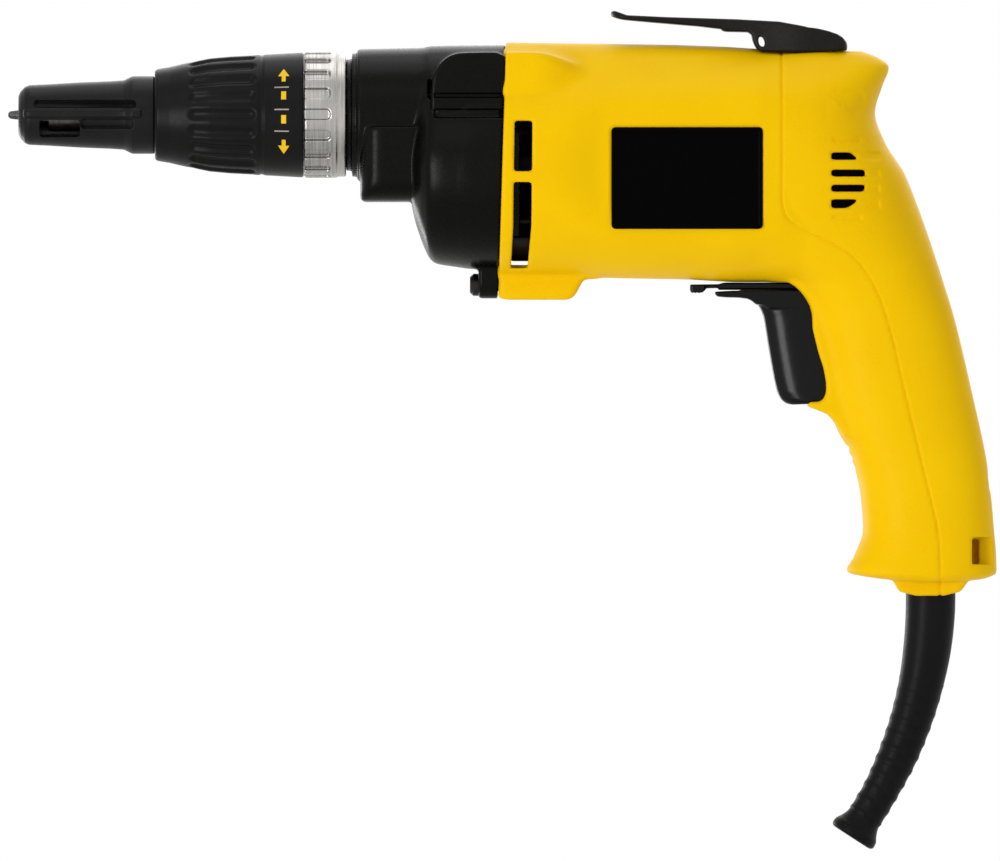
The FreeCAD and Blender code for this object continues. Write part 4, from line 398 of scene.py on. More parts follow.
def egg(y: Field, z: Field, low: Size, high: Size, gap: float) -> Field:
    """Measure the distance to an egg section: a low and a high circle and their tangents.

    Args:
        y: Y of the samples.
        z: Z of the samples, from the centre of the high circle.
        low: Radius of the low circle.
        high: Radius of the high circle.
        gap: How far below the high circle the low circle lies.

    Returns:
        Distances to the section.
    """
    side, rise = np.abs(y), z + gap
    taper = (low - high) / gap
    upright = np.sqrt(np.maximum(1 - taper * taper, 1e-6))
    along = upright * rise - taper * side
    flank = upright * side + taper * rise - low
    ends = np.where(along < 0, np.hypot(side, rise) - low, np.hypot(side, rise - gap) - high)
    return np.where((along < 0) | (along > upright * gap), ends, flank)


def glide(stations: Sequence[float], values: Sequence[float], at: Field) -> Field:
    """Read a smooth curve through a table, without overshoot.

    Args:
        stations: Rising table stations.
        values: Values at the stations.
        at: Where the curve is read.

    Returns:
        The curve's values.
    """
    x, y = np.asarray(stations, float), np.asarray(values, float)
    run = np.diff(x)
    rise = np.diff(y) / run
    slope = np.concatenate(([rise[0]], np.zeros(len(x) - 2), [rise[-1]]))
    for i in range(1, len(x) - 1):
        if rise[i - 1] * rise[i] > 0:
            before, after = 2 * run[i] + run[i - 1], run[i] + 2 * run[i - 1]
            slope[i] = (before + after) / (before / rise[i - 1] + after / rise[i])
    i = np.clip(np.searchsorted(x, at) - 1, 0, len(run) - 1)
    t = np.clip((at - x[i]) / run[i], 0, 1)
    start = (1 + 2 * t) * (1 - t) ** 2 * y[i] + t * (1 - t) ** 2 * run[i] * slope[i]
    end = t * t * (3 - 2 * t) * y[i + 1] + t * t * (t - 1) * run[i] * slope[i + 1]
    return start + end


def curve(table: Sequence[Corner], at: Field) -> Field:
    """Read a smooth curve through a table of stations and values."""
    return glide(*zip(*table), at)


def repeated(turn: Field, count: int) -> Field:
    """Fold turns round the X axis into one of a ring of equal parts, measured from its middle."""
    pitch = 2 * math.pi / count
    return (turn + pitch / 2) % pitch - pitch / 2


def evened(values: Field, step: float) -> Field:
    """Scale a rough distance by its own slope, so that it is right near the surface.

    Args:
        values: Rough distances.
        step: Distance between the samples.

    Returns:
        Distances that are true near the surface.
    """
    slopes = np.gradient(values, step)
    steep = np.sqrt(slopes[0] ** 2 + slopes[1] ** 2 + slopes[2] ** 2)
    return values / np.maximum(steep, 0.25)


# From forms to meshes


@dataclass(frozen=True)
class Space:
    """A block of sample points, in millimetres."""

    low: Spot
    high: Spot
    step: float

    def lines(self) -> tuple[Field, Field, Field]:
        """Lay out the samples, with a few beyond the block on each side.

        Returns:
            The positions along X, Y and Z, shaped to spread over the block.
        """
        edge = 2.5 * self.step
        runs = []
        for start, end in zip(self.low, self.high):
            runs.append(np.arange(start - edge, end + edge, self.step, dtype=np.float32))
        return tuple(np.meshgrid(*runs, indexing="ij", sparse=True))

    def read(self, values: Field, points: Field) -> Field:
        """Read a sampled form between its samples.

        Args:
            values: The form at the samples.
            points: Where it is read, in steps from the first sample.

        Returns:
            The form's distances there.
        """
        base = np.clip(points.astype(int), 0, np.array(values.shape) - 2)
        share = np.clip(points - base, 0, 1)
        total = np.zeros(len(points))
        for corner in np.ndindex(2, 2, 2):
            weight = np.prod(np.where(corner, share, 1 - share), axis=1)
            total += weight * values[tuple((base + corner).T)]
        return total

    def slope(self, values: Field, points: Field) -> Field:
        """Measure the direction in which a form's distance grows.

        Args:
            values: The form at the samples.
            points: Where it is read, in steps from the first sample.

        Returns:
            The growth of the distance in one step along X, Y and Z.
        """
        sides = []
        for axis in np.eye(3) * 0.6:
            sides.append((self.read(values, points + axis) - self.read(values, points - axis)) / 1.2)
        return np.stack(sides, axis=1)

    def skin(self, name: str, values: Field) -> bpy.types.Object:
        """Lay an even mesh of quads over the surface of a form.

        Args:
            name: Name of the piece.
            values: The form at the samples.

        Returns:
            The piece, in metres.
        """
        values = np.broadcast_to(values, [line.size for line in self.lines()])
        inside = values < 0
        room = np.array(values.shape) - 1
        cells, spots = [], []
        for axis in range(3):
            here, there = [slice(None)] * 3, [slice(None)] * 3
            here[axis], there[axis] = slice(None, -1), slice(1, None)
            here, there = tuple(here), tuple(there)
            crossing = inside[here] != inside[there]
            at = np.argwhere(crossing)
            first, second = values[here][crossing], values[there][crossing]
            spot = at.astype(float)
            spot[:, axis] += first / (first - second)
            across, along = (axis + 1) % 3, (axis + 2) % 3
            ring = []
            for step_across, step_along in ((0, 0), (1, 0), (1, 1), (0, 1)):
                cell = at.copy()
                cell[:, across] -= step_across
                cell[:, along] -= step_along
                ring.append(np.ravel_multi_index(tuple(cell.T), tuple(room)))
            ring = np.stack(ring, axis=1)
            ring[first > 0] = ring[first > 0][:, ::-1]
            cells.append(ring.ravel())
            spots.append(np.repeat(spot, 4, axis=0))
        spots = np.concatenate(spots)
        _, owner = np.unique(np.concatenate(cells), return_inverse=True)
        shared = np.bincount(owner)
        points = np.stack([np.bincount(owner, spots[:, k]) / shared for k in range(3)], axis=1)
        for _ in range(2):
            slope = self.slope(values, points)
            size = np.maximum((slope**2).sum(1), 1e-6)
            move = slope * (self.read(values, points) / size)[:, None]
            points -= np.clip(move, -0.4, 0.4)
        slope = self.slope(values, points)
        normals = slope / np.maximum(np.linalg.norm(slope, axis=1), 1e-9)[:, None]
        start = np.array([line.ravel()[0] for line in self.lines()])
        mesh = bpy.data.meshes.new(name)
        mesh.from_pydata((start + points * self.step) * MM, [], owner.reshape(-1, 4))
        mesh.polygons.foreach_set("use_smooth", np.ones(len(mesh.polygons), bool))
        mesh.update()
        mesh.normals_split_custom_set_from_vertices(normals)
        return stand(name, mesh)


def stand(name: str, data: bpy.types.ID) -> bpy.types.Object:
    """Put a mesh, a lamp or a camera into the scene.

    Args:
        name: Name of the new object.
        data: What it shows.

    Returns:
        The object.
    """
    item = bpy.data.objects.new(name, data)
    bpy.context.scene.collection.objects.link(item)
    return item


def hand_over(piece: bpy.types.Object, finish: Finish, body: Body, nodes: Iterable[str] = ()) -> None:
    """Dress a piece, set it on its body and let it stand for the CAD nodes that it shows.

    Args:
        piece: The piece.
        finish: Its finish.
        body: The body that it moves with.
        nodes: The CAD nodes that it replaces.
    """
    piece.data.materials.clear()
    piece.data.materials.append(finish.material())
    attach(piece, body.value)
    if nodes:
        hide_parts(*nodes)
    log.info("%s: %d faces, %s, on %s", piece.name, len(piece.data.polygons), finish.name, body.value)


def lean(z: Field) -> Field:
    """Give how far the joint between gear case and housing leans forward at a height."""
    return 0.03 * np.clip(z - 20.0, -80.0, 0.0)


# Nose end


@dataclass
class Nose:
    """The nosepiece with its ribs, grooves and windows, and the bit that stands out of it."""

    mouth: float = 4.5
    mouth_depth: float = 4.0
    bore: float = 6.7
    rib: Box = ((1.6, 0.0, -0.8), (37.5, 20.0, 1.6))
    rib_height: float = 0.9
    groove: Box = ((5.0, 0.0, 2.1), (36.0, 20.0, 4.4))
    groove_depth: float = 1.4
    groove_taper: float = 0.05
    low_groove: Box = ((19.2, 0.0, -4.2), (35.0, 20.0, -1.3))
    low_groove_depth: float = 1.8
    window: Box = ((6.6, 3.0, -6.7), (18.8, 20.0, -1.6))
    skirt: tuple[Corner, ...] = ((40.5, 0.0), (50.1, 0.0), (50.1, 11.2), (40.5, 11.2))
    bit_profile: tuple[Corner, ...] = (
        (-3.15, 0.0), (-3.15, 0.55), (-2.5, 1.15), (0.4, 1.5), (5.0, 2.9), (21.7, 2.9), (21.7, 0.0),
    )
    shank_middle: float = 14.3
    shank_half: float = 7.4
    half_flats: float = 3.17
    flute_radius: float = 0.82
    profile: tuple[Corner, ...] = (
        (0.0, 5.9), (0.7, 7.2), (2.0, 8.6), (3.2, 9.1), (9.6, 9.4), (18.8, 9.95), (27.9, 10.3), (32.2, 10.6),
        (34.0, 11.5), (34.8, 11.85), (41.4, 11.85), (41.6, 11.3),
    )

    def build(self) -> None:
        """Build and dress the nosepiece and the bit."""
        hand_over(self.nosepiece(), NOSE_BLACK, Body.NOSE, ["nosepiece"])
        hand_over(self.bit(), BIT_STEEL, Body.SPINDLE, ["screwdriver_bit"])

    def nosepiece(self) -> bpy.types.Object:
        """Build the tapered nosepiece, the same when it is turned half round.

        Returns:
            The nosepiece.
        """
        space = Space((0, -12.5, -12.5), (50.2, 12.5, 12.5), 0.36)
        x, y, z = space.lines()
        around, wall = np.hypot(y, z), curve(self.profile, x)
        solid = outline(x, around, [(0.0, 0.0), *self.profile, (self.profile[-1][0], 0.0)])
        side, rise = np.abs(y), np.where(y < 0, z, -z)
        rib = brick(x, side, rise, *self.rib, 0.5)
        solid = round_union(solid, round_common(rib, around - wall - self.rib_height, 0.4), 0.3)
        solid = np.minimum(solid, outline(x, around, self.skirt))
        groove = brick(x, side, rise, *self.groove, 0.8)
        floor = wall - self.groove_depth - self.groove_taper * x
        solid = round_cut(solid, np.maximum(groove, floor - around), 0.3)
        groove = brick(x, side, rise, *self.low_groove, 0.8)
        solid = round_cut(solid, np.maximum(groove, wall - self.low_groove_depth - around), 0.3)
        hole = np.maximum(around - np.where(x < self.mouth_depth, self.mouth, self.bore), -10 - x)
        solid = round_cut(solid, hole, 0.3)
        solid = round_cut(solid, brick(x, side, rise, *self.window, 0.9), 0.3)
        return space.skin("nosepiece_moulding", solid)

    def bit(self) -> bpy.types.Object:
        """Build the cross-point bit with its four flutes and hexagon shank.

        Returns:
            The bit.
        """
        space = Space((-3.2, -3.7, -3.7), (21.8, 3.7, 3.7), 0.2)
        x, y, z = space.lines()
        solid = outline(x, np.hypot(y, z), self.bit_profile)
        turns = np.radians((0, 60, 120))
        shank = common(*(np.abs(y * math.cos(turn) + z * math.sin(turn)) for turn in turns))
        shank = shank - self.half_flats
        ends = np.abs(x - self.shank_middle) - self.shank_half
        solid = round_union(solid, round_common(shank, ends, 0.5), 0.2)
        left, up = np.abs(y), np.abs(z)
        out, across = (left + up) / math.sqrt(2), (left - up) / math.sqrt(2)
        off = np.hypot(out - 1.5 - 0.16 * (x + 3), across)
        flute = np.hypot(np.maximum(x - 3.0, 0) * 0.9, off) - self.flute_radius
        return space.skin("cross_point_bit", round_cut(solid, flute, 0.08))


@dataclass
class Collar:
    """The fluted depth collar and the marks printed on it."""

    flutes: int = 20
    flute_ends: Corner = (53.6, 70.6)
    flute_radius: float = 1.95
    flute_rise: float = 0.95
    ring_place: Corner = (74.2, 18.9)
    ring_radius: float = 0.7
    mark_place: float = 81.0
    mark_radius: float = 18.8
    mark_film: float = 0.06
    inside: tuple[Corner, ...] = ((87.0, 14.9), (50.4, 13.4), (50.4, 11.5), (41.6, 11.5))
    profile: tuple[Corner, ...] = (
        (41.6, 13.4), (42.3, 14.0), (46.2, 14.65), (49.3, 15.4), (52.3, 16.05), (55.4, 16.8), (58.4, 17.4),
        (64.5, 17.95), (70.6, 18.25), (76.7, 18.5), (82.8, 18.85), (86.4, 19.05), (87.0, 18.75),
    )

    def build(self) -> None:
        """Build and dress the collar and its marks."""
        hand_over(self.collar(), BLACK, Body.COLLAR, ["depth_collar"])
        hand_over(self.marks("collar_setting_marks", self.arrows()), MARK, Body.COLLAR)
        hand_over(self.marks("collar_setting_ticks", self.ticks()), TICK, Body.COLLAR)

    def radius(self, x: Field) -> Field:
        """Read the collar's outer radius along X."""
        return curve(self.profile, x)

    def collar(self) -> bpy.types.Object:
        """Build the turned collar with its ring of flutes.

        Returns:
            The collar.
        """
        space = Space((41.6, -19.2, -19.2), (87.0, 19.2, 19.2), 0.48)
        x, y, z = space.lines()
        around, turn = np.hypot(y, z), np.arctan2(z, y)
        solid = outline(x, around, [*self.profile, *self.inside])
        off = repeated(turn, self.flutes)
        start, end = self.flute_ends
        past = common(start - x, x - end, 0)
        depth = self.radius(np.clip(x, start, end)) + self.flute_rise
        away = np.hypot(past, around * np.cos(off) - depth)
        solid = round_cut(solid, np.hypot(away, around * np.sin(off)) - self.flute_radius, 0.45)
        place, level = self.ring_place
        groove = np.hypot(x - place, (around - level) * 0.8) - self.ring_radius
        return space.skin("depth_collar_moulding", round_cut(solid, groove, 0.25))

    @staticmethod
    def arrows() -> list[list[Corner]]:
        """List the arrowheads and bars, as outlines of X offsets and turns in millimetres.

        Returns:
            The outlines.
        """
        up = [(-1.7, 12.6), (0.0, 15.6), (1.7, 12.6), (0.6, 12.6), (0.6, 10.6), (-0.6, 10.6), (-0.6, 12.6)]
        bars = [[(-0.75, low), (0.75, low), (0.75, low + 2.6), (-0.75, low + 2.6)] for low in (4.6, -2.8)]
        down = [(u, 2.6 - v) for u, v in up]
        return [up, *bars, down]

    @staticmethod
    def ticks() -> list[list[Corner]]:
        """List the fine ticks beside the bars, as outlines of X offsets and turns in millimetres.

        Returns:
            The outlines.
        """
        rows = [(at - 0.2, at + 0.2) for at in (8.6, 1.5, -5.2)]
        return [[(-2.8, low), (1.6, low), (1.6, high), (-2.8, high)] for low, high in rows]

    def marks(self, name: str, outlines: list[list[Corner]]) -> bpy.types.Object:
        """Wrap flat outlines round the collar as thin raised paint.

        Args:
            name: Name of the piece.
            outlines: Outlines of X offsets and distances round the collar.

        Returns:
            The piece.
        """
        mesh = bmesh.new()
        for corners in outlines:
            for mirror in (1.0, -1.0):
                points = [mesh.verts.new((u, v, mirror)) for u, v in corners]
                mesh.faces.new(points)
        bmesh.ops.triangulate(mesh, faces=mesh.faces[:])
        bmesh.ops.subdivide_edges(mesh, edges=mesh.edges[:], cuts=4, use_grid_fill=True)
        bmesh.ops.triangulate(mesh, faces=mesh.faces[:])
        for vert in mesh.verts:
            x, side = self.mark_place + vert.co.x, -vert.co.z
            reach = float(self.radius(np.array([x]))[0]) + 0.02
            turn = vert.co.y / self.mark_radius
            vert.co = (x * MM, side * reach * math.cos(turn) * MM, reach * math.sin(turn) * MM)
        bmesh.ops.recalc_face_normals(mesh, faces=mesh.faces[:])
        data = bpy.data.meshes.new(name)
        mesh.to_mesh(data)
        mesh.free()
        piece = stand(name, data)
        film = piece.modifiers.new("paint_film", "SOLIDIFY")
        film.thickness = self.mark_film * MM
        film.offset = 0.0
        return piece


@dataclass
class DetentRing:
    """The bright slotted ring behind the collar."""

    front: float = 87.2
    back: float = 99.9
    bore: float = 13.2
    radius: float = 19.15
    slots: int = 18
    slot_end: float = 95.2
    slot_floor: float = 17.9

    def build(self) -> None:
        """Build and dress the ring."""
        space = Space((self.front, -19.2, -19.2), (self.back, 19.2, 19.2), 0.4)
        x, y, z = space.lines()
        around, turn = np.hypot(y, z), np.arctan2(z, y)
        solid = outline(x, around, [
            (self.front, self.bore), (self.front, 18.7), (self.front + 0.4, self.radius),
            (97.0, self.radius), (97.2, 18.8), (self.back - 0.3, 18.8), (self.back, 18.5),
            (self.back, self.bore),
        ])
        off = repeated(turn, self.slots)
        long = np.maximum(x - self.slot_end + 1.2, 0)
        slot = np.hypot(long, np.maximum(np.abs(around * np.sin(off)) - 0.45, 0)) - 1.15
        slot = np.maximum(slot, self.slot_floor - around)
        ring = space.skin("slotted_ring", round_cut(solid, slot, 0.25))
        hand_over(ring, BRIGHT, Body.HOUSING, ["detent_ring"])


@dataclass
class GearCase:
    """The black casting: neck, wide lower boss, domed chamber, shoulders and lower ear."""

    back: float = 148.6
    drop: float = 16.0
    neck: tuple[Corner, ...] = (
        (99.95, 14.0), (99.95, 17.0), (101.7, 17.0), (101.7, 18.8), (103.3, 18.8), (103.3, 19.7),
        (103.9, 20.1), (124.5, 20.5), (129.0, 20.55), (148.6, 20.6), (148.6, 14.0),
    )
    belly: tuple[Corner, ...] = (
        (119.2, 17.0), (119.8, 20.5), (121.4, 23.8), (123.4, 26.8), (125.2, 28.6), (128.0, 29.5),
        (133.0, 30.3), (138.5, 31.0), (149.0, 31.2),
    )
    crown: tuple[Corner, ...] = ((119.2, 16.0), (121.4, 18.6), (123.6, 20.3), (126.0, 21.0), (149.0, 21.3))
    shoulder_view: tuple[Corner, ...] = (
        (125.8, -3.0), (152.0, -3.0), (152.0, 18.9), (135.6, 18.9), (132.0, 18.2), (128.7, 15.9),
        (126.6, 12.4), (125.8, 8.6),
    )
    shoulder_half: float = 24.6
    shoulder_grooves: tuple[Spot, ...] = ((5.7, 0.65, 1.0), (0.2, 1.3, 1.3))
    groove_start: float = 126.9
    groove_inner: float = 18.0
    chin_place: Corner = (119.5, -28.4)
    chin_slope: Corner = (0.946, 0.324)
    boss_plan: Box = ((104.3, -22.4, -60.0), (140.0, 22.4, 20.0))
    boss_roll: Box = ((90.0, -22.4, -26.5), (128.0, 22.4, 20.0))
    boss_top: float = -3.7
    ear: Box = ((140.3, -6.0, -56.2), (152.0, 6.0, -40.0))
    ear_middle: float = -50.2
    ear_radius: float = 6.0
    wall: float = 2.8
    room_start: float = 128.0
    bore: float = 13.2
    spigot: Corner = (145.0, 153.0)
    spigot_inset: float = 4.2
    screw_places: tuple[Spot, ...] = ((134.1, 20.0, 8.0), (134.1, -20.0, 8.0))
    screw_sink: float = 3.5

    def build(self) -> None:
        """Build and dress the casting."""
        hand_over(self.casting(), CAST_BLACK, Body.HOUSING, ["gear_case"])

    def casting(self) -> bpy.types.Object:
        """Build the casting.

        Returns:
            The casting.
        """
        space = Space((99.9, -31.3, -56.2), (153.2, 31.3, 21.4), 0.6)
        x, y, z = space.lines()
        side, around = np.abs(y), np.hypot(y, z)
        past = x - self.back - lean(z)
        neck = outline(x, around, self.neck)
        section = egg(y, z, curve(self.belly, x), curve(self.crown, x), self.drop)
        chamber = evened(common(section, self.belly[0][0] - x, past), space.step)
        (place, level), (ahead, down) = self.chin_place, self.chin_slope
        chamber = round_common(chamber, (place - x) * ahead - (z - level) * down, 2.5)
        shoulders = np.maximum(outline(x, z, softened(self.shoulder_view)), past)
        shoulders = round_common(shoulders, side - self.shoulder_half, 1.0)
        plan, rolled = brick(x, y, z, *self.boss_plan, 7.5), brick(x, y, z, *self.boss_roll, 8.5)
        boss = round_common(round_common(plan, rolled, 1.6), z - self.boss_top, 1.0)
        ear = np.maximum(brick(x, y, z, *self.ear, 1.2), past)
        ear = round_common(ear, np.hypot(y, np.minimum(z - self.ear_middle, 0)) - self.ear_radius, 0.8)
        solid = round_union(neck, chamber, 0.7)
        solid = round_union(solid, boss, 0.5)
        solid = round_union(solid, shoulders, 0.6)
        skin = solid
        for middle, height, depth in self.shoulder_grooves:
            groove = common(np.abs(z - middle) - height, -(skin + depth), self.groove_start - x)
            solid = round_cut(solid, np.maximum(groove, self.groove_inner - side), 0.35)
        solid = round_union(solid, ear, 1.2)
        room = np.maximum(section + self.wall, self.room_start - x)
        solid = np.maximum(solid, -np.minimum(room, np.maximum(around - self.bore, 98.0 - x)))
        for seat, across, rise in self.screw_places:
            sink = common(np.hypot(y - across, z - rise) - self.screw_sink, x - seat, 125.0 - x)
            solid = round_cut(solid, sink, 0.3)
        solid = round_common(solid, past, 0.5)
        start, end = self.spigot
        spigot = common(np.abs(section + self.spigot_inset) - 1.0, start - x, x - end)
        return space.skin("gear_case_casting", np.minimum(solid, spigot))


# Yellow shell


@dataclass
class Shell:
    """The yellow body: barrel, lug, head and grip, hollowed and split on the seam."""

    front: float = 148.64
    seam: float = 232.6
    drop: float = 16.0
    low: float = 33.55
    flat: float = 29.5
    wall: float = 2.8
    top: float = 19.4
    height: float = 161.8
    reach: float = 65.7
    split: float = 0.22
    fullness: float = 2.4
    stations: tuple[tuple[float, float, float, float], ...] = (
        (0.000, -0.314, 0.400, 0.370), (0.030, -0.314, 0.500, 0.560), (0.065, -0.314, 0.470, 0.770),
        (0.115, -0.314, 0.436, 0.940), (0.170, -0.314, 0.480, 1.000), (0.230, -0.314, 0.572, 1.000),
        (0.290, -0.314, 0.632, 0.985), (0.345, -0.270, 0.681, 0.910), (0.395, -0.120, 0.722, 0.810),
        (0.441, 0.050, 0.758, 0.715), (0.495, 0.127, 0.799, 0.645), (0.570, 0.172, 0.845, 0.610),
        (0.650, 0.212, 0.890, 0.603), (0.707, 0.259, 0.922, 0.597), (0.765, 0.325, 0.951, 0.590),
        (0.835, 0.368, 0.974, 0.590), (0.900, 0.380, 0.988, 0.597), (0.950, 0.340, 0.998, 0.620),
        (0.982, 0.300, 1.000, 0.640), (1.000, 0.360, 0.955, 0.580),
    )
    seam_line: tuple[Corner, ...] = (
        (232.6, 60.0), (232.6, -20.0), (232.6, -30.0), (236.6, -34.2), (248.1, -39.5), (254.9, -43.5),
        (261.6, -53.2), (266.0, -66.3), (270.8, -87.9), (278.1, -117.9), (280.5, -127.6), (281.0, -149.7),
        (281.0, -170.0),
    )
    cheek: tuple[Corner, ...] = (
        (234.0, -46.0), (235.6, -51.2), (238.2, -53.2), (240.2, -55.5), (241.5, -57.8), (242.0, -60.5),
        (242.1, -65.3), (243.8, -72.3), (245.4, -77.2), (246.2, -81.5), (246.2, -84.6), (245.4, -86.6),
        (244.2, -87.4), (240.9, -87.6), (240.7, -88.9), (243.5, -89.9), (246.6, -91.2), (249.3, -93.8),
        (251.4, -97.6), (258.0, -101.0), (262.0, -46.0),
    )
    crown: tuple[Corner, ...] = ((149.0, 22.1), (200.0, 21.4), (216.0, 20.8), (236.0, 19.5))
    shoulder_half: tuple[Corner, ...] = ((148.0, 24.7), (157.0, 24.7), (179.0, 16.0))
    shoulder_top: tuple[Corner, ...] = ((148.0, 18.9), (157.0, 18.9), (179.0, 12.0))
    shoulder_round: tuple[Corner, ...] = ((148.0, 1.6), (153.0, 1.6), (179.0, 7.0))
    shoulder_base: float = 7.0
    lug: tuple[Corner, ...] = (
        (140.0, -56.35), (164.0, -56.35), (169.0, -56.35), (171.4, -52.0), (172.6, -49.8), (178.0, -49.4),
        (178.0, -40.0), (140.0, -40.0),
    )
    lug_half: float = 7.2
    cheek_half: float = 12.6
    foot: tuple[Corner, ...] = (
        (266.4, -138.0), (266.4, -141.6), (269.4, -146.6), (286.2, -146.6), (290.0, -141.6), (290.0, -138.0),
    )
    foot_half: float = 11.0
    grip_grooves: tuple[Corner, ...] = ((252.7, -101.6), (253.6, -104.6), (254.4, -107.6))
    front_vents: tuple[tuple[Corner, ...], ...] = (
        ((151.1, -17.4), (156.6, -17.4), (156.7, -2.1), (151.3, -2.1)),
        ((150.2, -46.6), (155.2, -46.6), (156.4, -34.0), (156.5, -20.7), (151.0, -20.7), (150.9, -34.0)),
    )
    plate_seat: Box = ((180.5, -9.0, -35.2), (227.0, 9.0, -3.8))
    trigger_mouth: Box = ((226.0, -8.7, -88.9), (258.0, 8.7, -51.05))
    vent_rows: tuple[Corner, ...] = ((-12.8, 1.1), (-17.95, 1.05), (-22.55, 1.05), (-27.3, 1.35))
    blind_rows: tuple[float, ...] = (-7.9, -31.4)
    heel_block: Box = ((288.0, -7.6, -139.5), (300.0, 7.6, -126.5))
    heel_pocket: Box = ((290.6, 7.5, -137.0), (310.0, 40.0, -128.8))
    heel_slot: Box = ((290.6, 3.0, -137.0), (292.6, 40.0, -129.4))
    cover_screws: tuple[Spot, ...] = ((235.6, 20.0, 4.0), (235.6, -20.0, 4.0), (279.8, 0.0, -112.0))
    screw_post: float = 5.4
    screw_sink: float = 3.8

    def build(self) -> None:
        """Build and dress the two halves of the shell."""
        hand_over(self.front_half(), YELLOW, Body.HOUSING, ["motor_housing"])
        hand_over(self.rear_half(), YELLOW, Body.HOUSING, ["rear_handle_cover"])

    def grip(self, x: Field, y: Field, z: Field, step: float) -> Field:
        """Form the head and grip from the table of sections.

        Args:
            x: X of the samples.
            y: Y of the samples.
            z: Z of the samples.
            step: Distance between the samples.

        Returns:
            Distances to the head and grip.
        """
        down = (self.top - z) / self.height
        places, *columns = zip(*self.stations)
        share = [glide(places, column, down) for column in columns]
        start, end = self.seam + self.reach * share[0], self.seam + self.reach * share[1]
        middle, half, side = (start + end) / 2, (end - start) / 2, self.flat * share[2]
        power = self.fullness
        ring = (np.abs(x - middle) / half) ** power + (np.abs(y) / side) ** power
        ring = np.maximum(ring, 1e-6) ** (1 / power)
        spoke = np.hypot(x - middle, y)
        form = evened(spoke - spoke / ring, step)
        base = self.top - self.height + 3.2 * ((x - 279.0) / 29.0) ** 2
        return round_common(form, np.maximum(z - self.top, base - z), 1.8)

    def outside(self, x: Field, y: Field, z: Field, step: float) -> Field:
        """Form the whole outside of the shell before it is hollowed and split.

        Args:
            x: X of the samples.
            y: Y of the samples.
            z: Z of the samples.
            step: Distance between the samples.

        Returns:
            Distances to the outside.
        """
        high = np.interp(x, *zip(*self.crown)).astype(np.float32)
        deeper = (self.low, self.low + 0.65, self.low + 1.43)
        low = np.interp(x, (172.0, 205.0, 218.0), deeper).astype(np.float32)
        past = self.front + lean(z) - x
        barrel = egg(y, z, low, high, self.drop)
        width = glide((148.0, 162.0, 180.0, 300.0), (34.6, 34.2, self.flat, self.flat), x)
        barrel = round_common(barrel, np.abs(y) - width, 2.5)
        barrel = round_common(barrel, past, 0.6)
        ends = common(z - curve(self.shoulder_top, x), self.shoulder_base - z, x - self.shoulder_top[-1][0])
        across = np.abs(y) - curve(self.shoulder_half, x)
        shoulder = round_common(across, ends, curve(self.shoulder_round, x))
        barrel = round_union(barrel, np.maximum(shoulder, past), 2.4)
        lug = np.maximum(outline(x, z, softened(self.lug)), past)
        barrel = round_union(barrel, round_common(lug, np.abs(y) - self.lug_half, 1.5), 1.5)
        grip = self.grip(x, y, z, step)
        head = barrel + glide((226.0, 246.0), (0.0, 1.0), x) * (grip - barrel)
        crotch = 0.05 + 5.0 * np.clip((-28.0 - z) / 18.0, 0, 1)
        stub = round_common(barrel + 3.0 * np.clip((x - 229.0) / 11.0, 0, 1) ** 2, x - 240.0, 0.6)
        form = head + glide((-32.0, -18.0), (1.0, 0.0), z) * (round_union(stub, grip, crotch) - head)
        cheek = outline(x, z, self.cheek)
        form = round_union(form, round_common(cheek, np.abs(y) - self.cheek_half, 1.4), 1.5)
        foot = outline(x, z, softened(self.foot, 1))
        form = round_union(form, round_common(foot, np.abs(y) - self.foot_half, 1.4), 0.8)
        for across, rise in self.grip_grooves:
            form = round_cut(form, np.hypot(x - across, z - rise) - 0.8, 0.5)
        return form

    def split_side(self, x: Field, z: Field, half: Half) -> Field:
        """Measure how far samples lie past the seam, out of the given half.

        Args:
            x: X of the samples.
            z: Z of the samples.
            half: The half that is kept.

        Returns:
            Distances to that half's side of the seam.
        """
        line = softened([*self.seam_line, (340.0, -170.0), (340.0, 60.0)])
        return half.value * outline(x, z, line) + self.split / 2

    def front_half(self) -> bpy.types.Object:
        """Build the motor housing with its vents, plate seats and trigger mouth.

        Returns:
            The motor housing.
        """
        space = Space((146.0, -33.6, -146.7), (286.0, 33.6, 21.8), 0.8)
        x, y, z = space.lines()
        form = self.outside(x, y, z, space.step)
        side = np.abs(y)
        solid = np.maximum(form, -(form + self.wall))
        throat = egg(y, z, self.low - self.wall, 18.9, self.drop)
        solid = np.maximum(solid, -np.maximum(throat, x - 153.0))
        seam = self.split_side(x, z, Half.FRONT)
        tongue = common(form + 0.5, -(form + self.wall), seam - 2.0)
        solid = np.minimum(round_common(solid, seam, 0.35), tongue)
        for view in self.front_vents:
            solid = round_cut(solid, np.maximum(outline(x, z, view), 9.0 - side), 0.35)
        seat = np.maximum(brick(x, 0.0, z, *self.plate_seat, 1.4), 29.0 - side)
        solid = round_cut(solid, seat, 0.3)
        mouth = brick(x, y, z, *self.trigger_mouth, 0.6)
        solid = round_cut(solid, mouth, 0.05 + 0.5 * np.clip((-53.0 - z) / 3.0, 0, 1))
        return space.skin("motor_housing_moulding", solid)

